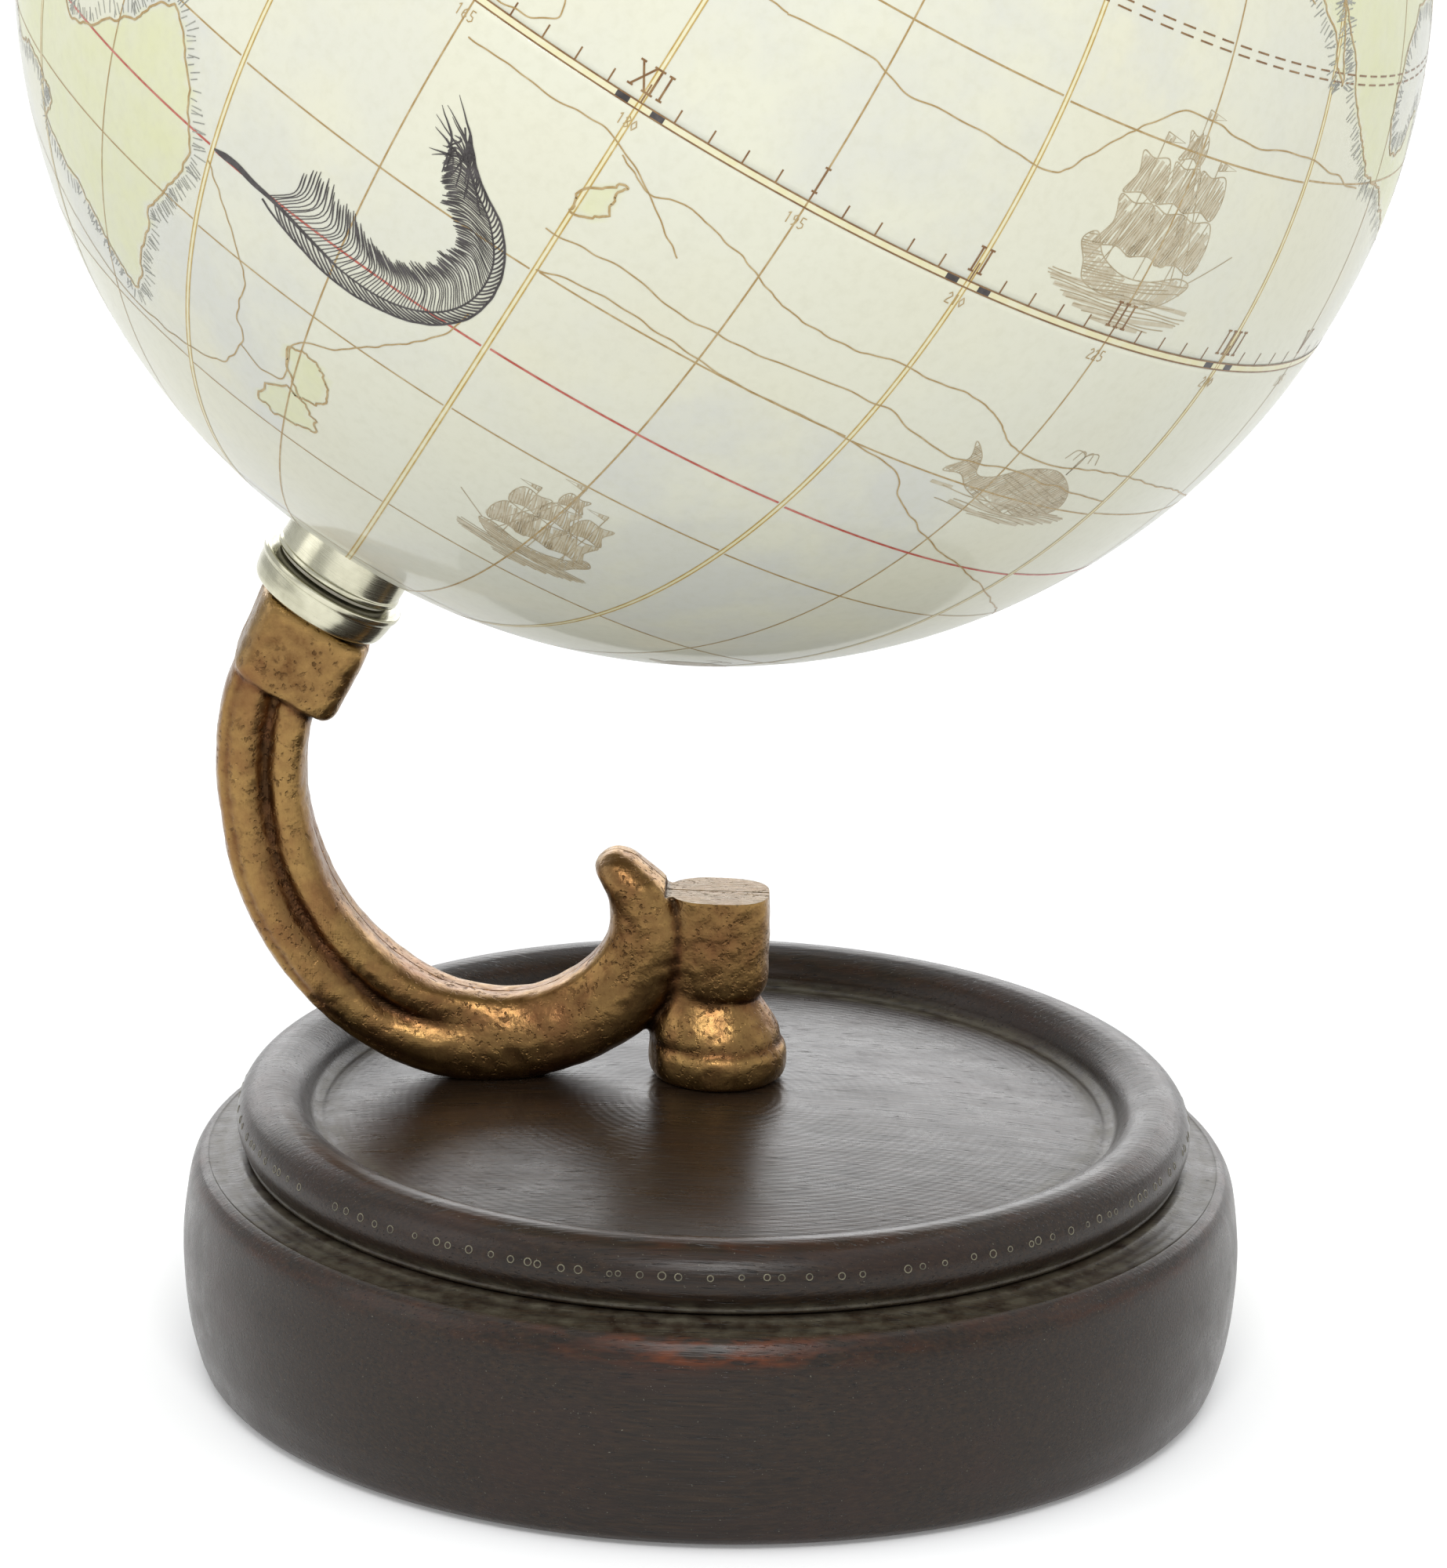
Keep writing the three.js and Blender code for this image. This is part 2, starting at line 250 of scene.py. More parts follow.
@dataclass(frozen=True)
class StainedWood:
    """Turned hardwood, stained espresso, waxed and rubbed.

    The stain hides the figure, so the eye gets open pores along the grain (X), dots where the end grain
    shows, reddish patches where the stain is thin, and grey-green wax left in the hollows.
    """

    name: str = "stained_turned_hardwood"
    dark: str = "#19120d"
    middle: str = "#251b13"
    light: str = "#332518"
    rubbed: str = "#703614"
    wax: str = "#5b5647"
    warm: str = "#33211b"
    dust: str = "#8f8d7c"
    pore: str = "#0e0b0a"

    def make(self) -> bpy.types.Material:
        """Build the wood's nodes.

        Returns:
            The material.
        """
        r = Recipe(self.name)
        fibre = r.cloud((11.0, 0.45, 0.45), 0.3, 0.7, detail=4.0)
        tone = r.add("ValToRGB", inputs={"Fac": fibre},
                     stops=[(0.0, self.dark), (0.5, self.middle), (1.0, self.light)])
        tone = r.over(tone, self.warm, r.cloud((34.0, 18.0, 14.0), 0.48, 0.72, (0.0, 0.5)))
        tone = r.over(tone, self.rubbed, r.along("rubbed"), r.cloud((7.0, 5.0, 1.6), 0.42, 0.68, (0.0, 0.85)))
        wax = r.both(r.along("hollow"), r.cloud((3.0, 3.0, 1.2), 0.3, 0.68), 0.8)
        tone = r.over(tone, self.wax, wax)
        dust = r.cloud((0.32, 0.32, 0.32), 0.74, 0.8, detail=1.0)
        tone = r.over(tone, self.dust, dust, 0.5)
        # real pores are about 0.15 mm wide and are drawn at 0.3 mm so that they show
        pore = r.cloud((5.5, 0.3, 0.3), 0.66, 0.73, detail=1.0)
        tone = r.over(tone, self.pore, pore, 0.8)
        turned = r.add("TexWave", {"wave_type": "RINGS", "rings_direction": "Z"},
                       {"Vector": r.cells((1.0, 1.0, 1.0)), "Scale": 0.24, "Distortion": 1.6,
                        "Detail": 2.0, "Detail Scale": 0.3}, "Fac")
        rough = r.add("Mix", inputs={"Factor": wax, 2: r.cloud((9.0, 5.0, 5.0), to=(0.24, 0.35)), 3: 0.5})
        hollowed = r.add("Math", {"operation": "SUBTRACT"}, {0: 1.0, 1: pore})
        bumps = r.relief((turned, 0.014), (fibre, 0.022), (hollowed, 0.05))
        return r.finish(Base_Color=tone, Roughness=rough, Normal=bumps, IOR=1.5, Specular_IOR_Level=0.32)


@dataclass(frozen=True)
class CastBronze:
    """Sand-cast bronze, blackened, then rubbed back and waxed.

    The patina stays in the pits and hollows and the rubbed ridges go golden, so relief reads as colour.
    """

    name: str = "cast_bronze_rubbed_patina"
    hollow: str = "#3f2c1c"
    flank: str = "#6a4c2e"
    body: str = "#7f613c"
    ridge: str = "#957648"
    red: str = "#714a31"
    pit: str = "#4a3322"
    filed: str = "#756a55"

    def make(self) -> bpy.types.Material:
        """Build the bronze's nodes.

        Returns:
            The material.
        """
        r = Recipe(self.name)
        blotch = r.cloud((4.0, 4.0, 4.0), 0.3, 0.7, (-0.12, 0.12), detail=5.0)
        grit = r.cloud((0.8, 0.8, 0.8), 0.3, 0.7, (-0.11, 0.11), detail=4.0)
        level = r.add("Math", {"operation": "ADD"}, {0: r.along("relief"), 1: blotch})
        level = r.add("Math", {"operation": "ADD"}, {0: level, 1: grit})
        tone = r.add("ValToRGB", inputs={"Fac": level}, stops=[
            (0.06, self.hollow), (0.34, self.flank), (0.54, self.body), (0.9, self.ridge)])
        tone = r.over(tone, self.red, r.cloud((8.0, 8.0, 11.0), 0.44, 0.7, (0.0, 0.7), detail=5.0))
        pits = r.both(r.cloud((0.9, 0.9, 0.9), 0.57, 0.66, detail=2.0), r.cloud((7.0, 7.0, 7.0), 0.38, 0.6))
        tone = r.over(tone, self.pit, pits, 0.45)
        filed = r.along("filed")
        tone = r.over(tone, self.filed, filed, r.cloud((3.0, 0.5, 3.0), to=(0.3, 0.8)))
        rough = r.add("Mix", inputs={"Factor": pits, 2: r.cloud((1.4, 1.4, 1.4), to=(0.26, 0.4)), 3: 0.6})
        marks = r.both(r.cloud((5.0, 0.3, 0.3), turn=(0.0, 0.52, 0.0)), filed)
        pocked = r.add("Math", {"operation": "SUBTRACT"}, {0: 1.0, 1: pits})
        bumps = r.relief((r.cloud((3.0, 3.0, 3.0)), 0.07), (grit, 0.08), (pocked, 0.09), (marks, 0.05))
        return r.finish(Base_Color=tone, Metallic=1.0, Roughness=rough, Normal=bumps)


@dataclass(frozen=True)
class TurnedMetal:
    """Pale nickel silver turned on a lathe and polished.

    Fine tool rings break the reflections into narrow bands, and the hollows and joins are darkened to olive.
    """

    name: str = "polished_nickel_silver"
    bright: str = "#cbc8b2"
    dull: str = "#aaa791"
    recess_olive: str = "#55543c"

    def make(self) -> bpy.types.Material:
        """Build the metal's nodes.

        Returns:
            The material.
        """
        r = Recipe(self.name)
        tone = r.add("Mix", COLOUR, {FACTOR: r.cloud((5.0, 5.0, 5.0), 0.4, 0.75), BELOW: srgb(self.bright),
                                     ABOVE: srgb(self.dull)}, MIXED)
        # the hollows and the joins under the ball and neck are darkened to olive
        tone = r.over(tone, self.recess_olive, r.along("hollow"), r.cloud((2.0, 2.0, 2.0), to=(0.55, 1.0)))
        # real tool rings are about 0.05 mm apart and are drawn at 0.2 mm so that they show
        step = r.add("Attribute", {"attribute_name": "step"}, out="Fac")
        rings = r.add("TexNoise", {"noise_dimensions": "1D"}, {"W": step, "Scale": 1.0 / 0.2, "Detail": 3.0})
        rough = r.add("MapRange", inputs={"Value": rings, "From Min": 0.3, "From Max": 0.7,
                                          "To Min": 0.16, "To Max": 0.28})
        return r.finish(Base_Color=tone, Metallic=1.0, Roughness=rough, Normal=r.relief((rings, 0.004)))


@dataclass(frozen=True)
class PlatedSteel:
    """Zinc-plated steel: bright grey with a bluish bloom and fine scratches."""

    name: str = "zinc_plated_steel"
    bright: str = "#bcbfc0"
    bloom: str = "#949ca6"

    def make(self) -> bpy.types.Material:
        """Build the steel's nodes.

        Returns:
            The material.
        """
        r = Recipe(self.name)
        tone = r.add("Mix", COLOUR, {FACTOR: r.cloud((3.0, 3.0, 3.0)), BELOW: srgb(self.bright),
                                     ABOVE: srgb(self.bloom)}, MIXED)
        scratch = r.cloud((0.25, 0.25, 4.0))
        rough = r.cloud((1.0, 1.0, 1.0), to=(0.22, 0.4))
        return r.finish(Base_Color=tone, Metallic=1.0, Roughness=rough, Normal=r.relief((scratch, 0.01)))


@dataclass(frozen=True)
class MouldedNylon:
    """Natural moulded nylon: a milky plastic with a soft waxy sheen and faint cloudiness."""

    name: str = "natural_moulded_nylon"
    milky: str = "#e9e4d4"
    shade: str = "#d5cdb6"

    def make(self) -> bpy.types.Material:
        """Build the nylon's nodes.

        Returns:
            The material.
        """
        r = Recipe(self.name)
        tone = r.add("Mix", COLOUR, {FACTOR: r.cloud((4.0, 4.0, 4.0)), BELOW: srgb(self.milky),
                                     ABOVE: srgb(self.shade)}, MIXED)
        skin = r.cloud((0.4, 0.4, 0.4), detail=2.0)
        return r.finish(Base_Color=tone, Roughness=r.cloud((2.0, 2.0, 2.0), to=(0.38, 0.5)),
                        Normal=r.relief((skin, 0.01)), IOR=1.53)


@dataclass(frozen=True)
class PressedFelt:
    """Pressed wool felt: matted dark green fibres, no gloss, and a pale fuzz at grazing angles."""

    name: str = "pressed_wool_felt"
    deep: str = "#22332a"
    light: str = "#40564a"
    matted: str = "#1b2921"

    def make(self) -> bpy.types.Material:
        """Build the felt's nodes.

        Returns:
            The material.
        """
        r = Recipe(self.name)
        # real fibres are about 0.02 mm thick, and tufts of 0.5 mm stand for them
        fibres = r.cloud((0.5, 0.5, 0.5), detail=6.0)
        tone = r.add("ValToRGB", inputs={"Fac": fibres}, stops=[(0.2, self.deep), (0.9, self.light)])
        tone = r.over(tone, self.matted, r.cloud((6.0, 6.0, 6.0), to=(0.0, 0.5)))
        return r.finish(Base_Color=tone, Roughness=0.95, Sheen_Weight=0.4, Normal=r.relief((fibres, 0.3)))


@dataclass(frozen=True)
class LacqueredMap:
    """Printed paper under clear gloss lacquer.

    The paper is aged ivory with cooler panels between the map's lines, land has a yellow-green wash, and
    the lacquer gives a clean reflection with a slight orange peel.
    """

    name: str = "lacquered_map_paper"
    ivory: str = "#e6e5d0"
    cool: str = "#dcdcd0"
    warm: str = "#e5e2c8"
    land: str = "#dfe0b2"
    stain: str = "#c9c6aa"
    panel_width: float = 15.0  # degrees of longitude between printed meridians

    def make(self, centre: tuple[float, ...], tilt: float, start: float, tall: float) -> bpy.types.Material:
        """Build the paper's nodes.

        Args:
            centre: The ball's centre, in metres.
            tilt: Lean of the axle towards +X, in radians.
            start: Longitude of the first gore's edge, in radians from the side that faces -Y.
            tall: Height of a printed panel, in radians of latitude.

        Returns:
            The material.
        """
        r = Recipe(self.name)
        place = r.add("TexCoord", out="Object")
        local = r.add("Mapping", {"vector_type": "TEXTURE"},
                      {"Vector": place, "Location": centre, "Rotation": (0.0, tilt, 0.0)})
        unit = r.add("VectorMath", {"operation": "NORMALIZE"}, {0: local})
        x, y, z = (r.add("SeparateXYZ", inputs={0: unit}, out=i) for i in range(3))
        back = r.add("Math", {"operation": "MULTIPLY"}, {0: y, 1: -1.0})
        east = r.add("Math", {"operation": "ARCTAN2"}, {0: x, 1: back})
        east = r.add("Math", {"operation": "SUBTRACT"}, {0: east, 1: start})
        north = r.add("Math", {"operation": "ARCSINE"}, {0: z})
        columns = r.add("Math", {"operation": "DIVIDE"}, {0: east, 1: math.radians(self.panel_width)})
        rows = r.add("Math", {"operation": "DIVIDE"}, {0: north, 1: tall})
        column = r.add("Math", {"operation": "FLOOR"}, {0: columns})
        row = r.add("Math", {"operation": "FLOOR"}, {0: rows})
        panel = r.add("CombineXYZ", inputs={0: column, 1: row})
        pick = r.add("TexWhiteNoise", {"noise_dimensions": "3D"}, {"Vector": panel}, "Value")
        tone = r.add("Mix", COLOUR, {FACTOR: r.cloud((42.0, 42.0, 42.0), 0.4, 0.7, (0.0, 0.8), 2.0),
                                     BELOW: srgb(self.ivory), ABOVE: srgb(self.warm)}, MIXED)
        tone = r.over(tone, self.cool, r.cloud((17.0, 17.0, 17.0), 0.34, 0.6, detail=5.0),
                      r.add("MapRange", inputs={"Value": pick, "From Min": 0.15, "From Max": 0.8,
                                                "To Min": 0.1, "To Max": 1.0}))
        tone = r.over(tone, self.land, r.along("land"), r.cloud((6.0, 6.0, 6.0), to=(0.55, 0.95)))
        tone = r.over(tone, self.stain, r.cloud((1.6, 1.6, 1.6), 0.45, 0.8, (0.0, 0.22), 4.0))
        peel = r.cloud((3.2, 3.2, 3.2), detail=1.0)
        return r.finish(Base_Color=tone, Roughness=0.5, Specular_IOR_Level=0.25, Coat_Weight=0.35,
                        Coat_Roughness=0.08, Normal=r.relief((peel, 0.004)))


@dataclass(frozen=True)
class PrintInk:
    """Printing ink under the same lacquer: flat colour that thins out where the plate was dry."""

    name: str
    full: str
    thin: str

    def make(self) -> bpy.types.Material:
        """Build the ink's nodes.

        Returns:
            The material.
        """
        r = Recipe(self.name)
        tone = r.add("ValToRGB", inputs={"Fac": r.cloud((1.8, 1.8, 1.8), detail=4.0)},
                     stops=[(0.25, self.full), (0.95, self.thin)])
        return r.finish(Base_Color=tone, Roughness=0.5, Specular_IOR_Level=0.25, Coat_Weight=0.35,
                        Coat_Roughness=0.08)


# ---- curves, surfaces and pieces ----


def through(points: list | np.ndarray, count: int, closed: bool = False) -> np.ndarray:
    """A smooth curve through given points.

    Between each two points it is the Catmull-Rom cubic, whose slope at a point is half the step between
    that point's neighbours.

    Args:
        points: The points, of any dimension.
        count: Points in the result.
        closed: Whether the curve returns to its start.

    Returns:
        An array of count points.
    """
    p = np.asarray(points, float)
    p = np.vstack([p[-1:], p, p[:2]]) if closed else np.vstack([2 * p[0] - p[1], p, 2 * p[-1] - p[-2]])
    spans = len(p) - 3
    t = np.linspace(0, spans, count, endpoint=not closed)
    i = np.minimum(t.astype(int), spans - 1)
    f = (t - i)[:, None]
    a, b, c, d = p[i], p[i + 1], p[i + 2], p[i + 3]
    return 0.5 * (2 * b + (c - a) * f + (2 * a - 5 * b + 4 * c - d) * f**2 + (3 * b - a - 3 * c + d) * f**3)


def eased(points: list | np.ndarray, radius: float, steps: int = 5) -> np.ndarray:
    """An open outline with its corners eased.

    Each inner corner becomes the quadratic curve that leaves one side and joins the next at radius from
    the corner, or at nearly half of a side that is shorter.

    Args:
        points: Corners as (radius, height).
        radius: Distance from a corner where easing starts.
        steps: Points on each eased corner.

    Returns:
        The new outline.
    """
    p = np.asarray(points, float)
    here = p[1:-1]
    back, ahead = p[:-2] - here, p[2:] - here
    reach_back = np.linalg.norm(back, axis=1, keepdims=True)
    reach_ahead = np.linalg.norm(ahead, axis=1, keepdims=True)
    start = here + back / reach_back * np.minimum(radius, reach_back * 0.48)
    end = here + ahead / reach_ahead * np.minimum(radius, reach_ahead * 0.48)
    t = np.linspace(0, 1, steps)[None, :, None]
    curve = (1 - t) ** 2 * start[:, None] + 2 * t * (1 - t) * here[:, None] + t**2 * end[:, None]
    return np.vstack([p[:1], curve.reshape(-1, 2), p[-1:]])


def filled(profile: np.ndarray, step: float) -> np.ndarray:
    """Add points to an outline so that none of its sides is longer than a step.

    Args:
        profile: The outline's points.
        step: Longest side.

    Returns:
        The same outline with more points.
    """
    p = np.asarray(profile, float)
    reach = np.linalg.norm(np.diff(p, axis=0), axis=1)
    pieces = [np.linspace(a, b, max(2, int(math.ceil(d / step)) + 1))[:-1]
              for a, b, d in zip(p[:-1], p[1:], reach)]
    return np.vstack([*pieces, p[-1:]])


def arc(centre: tuple[float, float], radius: float, start: float, end: float, count: int) -> np.ndarray:
    """Points on an arc, with its angles in degrees."""
    angle = np.radians(np.linspace(start, end, count))
    return np.stack([centre[0] + radius * np.cos(angle), centre[1] + radius * np.sin(angle)], axis=1)


def ripple(points: np.ndarray, size: float, seed: int) -> np.ndarray:
    """A smooth uneven value of each point.

    It is the mean of twelve sine waves, each along its own seeded direction, about size long.

    Args:
        points: Rows of any dimension, in mm or degrees.
        size: Typical length of a wave in the same unit.
        seed: Picks the waves.

    Returns:
        Values from about -1 to 1.
    """
    rng = np.random.default_rng(seed)
    ways = rng.normal(size=(points.shape[1], 12)) * 2 * np.pi / size / math.sqrt(points.shape[1])
    return np.sin(points @ ways + rng.uniform(0, 2 * np.pi, 12)).mean(axis=1) * 2.2


def make_piece(name: str, points: np.ndarray, faces: list | np.ndarray,
               painted: dict[str, np.ndarray] | None = None) -> bpy.types.Object:
    """Put arrays into a smooth mesh object at the origin.

    Args:
        name: Name of the piece.
        points: Vertices in mm.
        faces: Vertex numbers of each face.
        painted: One value for each vertex, by attribute name.

    Returns:
        The object, linked to the scene.
    """
    mesh = bpy.data.meshes.new(name)
    faces = faces.tolist() if isinstance(faces, np.ndarray) else faces
    mesh.from_pydata((np.asarray(points, float) * MM).tolist(), [], faces)
    for key, values in (painted or {}).items():
        layer = mesh.attributes.new(key, "FLOAT", "POINT")
        layer.data.foreach_set("value", np.asarray(values, np.float32))
    mesh.polygons.foreach_set("use_smooth", np.ones(len(mesh.polygons), bool))
    mesh.update()
    piece = bpy.data.objects.new(name, mesh)
    bpy.context.scene.collection.objects.link(piece)
    return piece


def dress(piece: bpy.types.Object, material: bpy.types.Material, body: Body, slot: Slot,
          *nodes: str) -> bpy.types.Object:
    """Finish a piece and tie it to the frame.

    Args:
        piece: The piece.
        material: Its finish.
        body: The body it moves with.
        slot: The record's slot its finish belongs to; not used.
        nodes: CAD nodes that it stands for.

    Returns:
        The piece.
    """
    piece.data.materials.clear()
    piece.data.materials.append(material)
    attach(piece, body.value)
    if nodes:
        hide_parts(*nodes)
    log.info("built %s: %d faces", piece.name, len(piece.data.polygons))
    return piece


def grid_faces(rows: int, columns: int, wrap: bool = True) -> np.ndarray:
    """Quads of a grid, which face out where rows climb and columns turn anticlockwise.

    Args:
        rows: Points along the first way.
        columns: Points along the second way.
        wrap: Whether the last column joins the first.

    Returns:
        Vertex numbers of each quad.
    """
    i = np.arange(rows - 1)[:, None] * columns
    j = np.arange(columns if wrap else columns - 1)[None, :]
    k = (j + 1) % columns
    return np.stack([i + j, i + k, i + columns + k, i + columns + j], axis=-1).reshape(-1, 4)


def lofted(sections: np.ndarray) -> tuple[np.ndarray, list]:
    """Skin a pile of closed sections and close each end with a fan.

    Args:
        sections: Points as (section, point round it, 3), in mm.

    Returns:
        Vertices and faces.
    """
    rows, columns = sections.shape[:2]
    points = np.vstack([sections.reshape(-1, 3), sections[0].mean(axis=0), sections[-1].mean(axis=0)])
    j = np.arange(columns)
    k = (j + 1) % columns
    top = (rows - 1) * columns
    low = np.stack([np.full(columns, rows * columns), k, j], axis=-1)
    high = np.stack([np.full(columns, rows * columns + 1), top + j, top + k], axis=-1)
    return points, [*grid_faces(rows, columns).tolist(), *low.tolist(), *high.tolist()]


def lathe(name: str, profile: np.ndarray, steps: int = 128, frame: Matrix | None = None,
          painted: dict[str, np.ndarray] | None = None) -> bpy.types.Object:
    """Turn a profile about Z.

    Each point of the profile goes round a circle of its radius at its height. A point on the axis stays
    one vertex, and a profile that ends where it began closes on itself.

    Args:
        name: Name of the piece.
        profile: Points as (radius, height) in mm, anticlockwise seen with the axis on the left.
        steps: Points round the circle.
        frame: Where the axis stands, in mm.
        painted: Values for each profile point, or for each profile point and step, by attribute name.

    Returns:
        The piece.
    """
    p = np.asarray(profile, float)
    closed = bool(np.allclose(p[0], p[-1]))
    count = len(p) - closed
    first, last = bool(p[0, 0] < 1e-6), bool(p[-1, 0] < 1e-6)
    ring = p[first:count - last]
    rows = len(ring)
    angle = np.linspace(0, 2 * np.pi, steps, endpoint=False)
    grid = np.stack([ring[:, :1] * np.cos(angle), ring[:, :1] * np.sin(angle),
                     np.repeat(ring[:, 1:], steps, axis=1)], axis=-1)
    poles = p[[0] * first + [count - 1] * last]
    points = np.vstack([grid.reshape(-1, 3), np.column_stack([np.zeros((len(poles), 2)), poles[:, 1]])])
    faces = grid_faces(rows, steps).tolist()
    j = np.arange(steps)
    k = (j + 1) % steps
    end = (rows - 1) * steps
    if closed:
        faces += np.stack([end + j, end + k, k, j], axis=-1).tolist()
    if first:
        faces += np.stack([np.full(steps, rows * steps), k, j], axis=-1).tolist()
    if last:
        faces += np.stack([np.full(steps, rows * steps + first), end + j, end + k], axis=-1).tolist()
    if frame is not None:
        turn = np.array(frame)
        points = points @ turn[:3, :3].T + turn[:3, 3]
    spread = {}
    for key, values in (painted or {}).items():
        v = np.asarray(values, float)[:count]
        v = np.repeat(v[:, None], steps, axis=1) if v.ndim == 1 else v
        spread[key] = np.concatenate([v[first:count - last].ravel(), v[[0] * first + [-1] * last, 0]])
    return make_piece(name, points, faces, spread)


def near(profile: np.ndarray, *spots: Triple) -> np.ndarray:
    """How close each profile point is to any of some spots.

    Args:
        profile: Points as (radius, height).
        spots: Each spot's radius, height and reach.

    Returns:
        A bell curve of the distance, from 0 to 1, for each point.
    """
    s = np.asarray(spots, float)[None]
    square = ((profile[:, None, :] - s[..., :2]) ** 2).sum(axis=-1) / s[..., 2] ** 2
    return np.exp(-square).max(axis=1)


def travelled(profile: np.ndarray) -> np.ndarray:
    """Distance along a profile from its first point."""
    return np.concatenate([[0.0], np.linalg.norm(np.diff(profile, axis=0), axis=1).cumsum()])


def read_mesh(mesh: bpy.types.Mesh) -> tuple[np.ndarray, np.ndarray, np.ndarray]:
    """Read a mesh as arrays.

    Args:
        mesh: Any mesh.

    Returns:
        Vertices in mm, their normals, and edges as pairs of vertex numbers.
    """
    points = np.empty(len(mesh.vertices) * 3, np.float32)
    mesh.vertices.foreach_get("co", points)
    normals = np.empty(len(mesh.vertices) * 3, np.float32)
    mesh.vertex_normals.foreach_get("vector", normals)
    edges = np.empty(len(mesh.edges) * 2, np.int32)
    mesh.edges.foreach_get("vertices", edges)
    return points.reshape(-1, 3) / MM, normals.reshape(-1, 3).astype(float), edges.reshape(-1, 2)


def relaxed(values: np.ndarray, edges: np.ndarray, rounds: int, share: float = 0.5) -> np.ndarray:
    """Average values along a mesh's edges.

    Each round moves a value by a share of the way to the mean of its neighbours.

    Args:
        values: One row for each vertex.
        edges: Pairs of vertex numbers.
        rounds: How many times.
        share: Part of the way, from 0 to 1.

    Returns:
        The averaged rows.
    """
    v = np.array(values, float)
    a, b = edges.T
    count = np.bincount(np.concatenate([a, b]), minlength=len(v)).clip(1)
    for _ in range(rounds):
        sums = [np.bincount(a, c[b], len(v)) + np.bincount(b, c[a], len(v)) for c in v.T]
        mean = np.stack([total / count for total in sums], axis=1)
        v += share * (mean - v)
    return v


# ---- places given by the frame ----


@dataclass(frozen=True)
class Layout:
    """Where the frame puts the ball, its axle, the arm and the wood, in mm."""

    centre: np.ndarray
    axle: np.ndarray
    ball_radius: float
    drum_radius: float
    drum_top: float
    tier_bottom: float
    felt_radius: float
    felt_top: float
    arm_y: float

    @classmethod
    def read(cls, frame: dict) -> "Layout":
        """Read the places from the loaded frame.


        Returns:
            The layout.
        """
        joint = next(j for j in frame["joints"] if j["name"] == "globe_spin")
        ball, drum, tier, felt, arm = (
            np.array([list(corner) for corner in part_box(name)]) / MM
            for name in ("globe_north_half", "base_drum", "base_tier", "felt_pad", "arm_front_half"))
        return cls(
            centre=np.array(joint["pos_m"]) / MM,
            axle=np.array(joint["axis"]) / np.linalg.norm(joint["axis"]),
            ball_radius=float(ball[1, 1] - ball[0, 1]) / 2,
            drum_radius=float(drum[1, 0] - drum[0, 0]) / 2,
            drum_top=float(drum[1, 2]),
            tier_bottom=float(tier[0, 2]),
            felt_radius=float(felt[1, 0] - felt[0, 0]) / 2,
            felt_top=float(felt[1, 2]),
            arm_y=float(arm[1, 1]) + 0.15,
        )

    @property
    def tilt(self) -> float:
        """Lean of the axle towards +X, in radians."""
        return math.atan2(float(self.axle[0]), float(self.axle[2]))

    @property
    def axle_frame(self) -> Matrix:
        """Frame at the ball's centre with its Z along the axle."""
        return Matrix.Translation(Vector(self.centre)) @ Matrix.Rotation(self.tilt, 4, "Y")

    def on_axle(self, south: float, across: np.ndarray, depth: np.ndarray) -> np.ndarray:
        """Points beside the axle.

        Args:
            south: Distance south along the axle from the ball's centre.
            across: Distances off the axle towards +X.
            depth: Distances off it towards +Y.

        Returns:
            The points, in mm.
        """
        side = np.array([math.cos(self.tilt), 0.0, -math.sin(self.tilt)])
        deep = depth[:, None] * np.array([0, 1.0, 0])
        return self.centre - south * self.axle + across[:, None] * side + deep


# ---- base ----


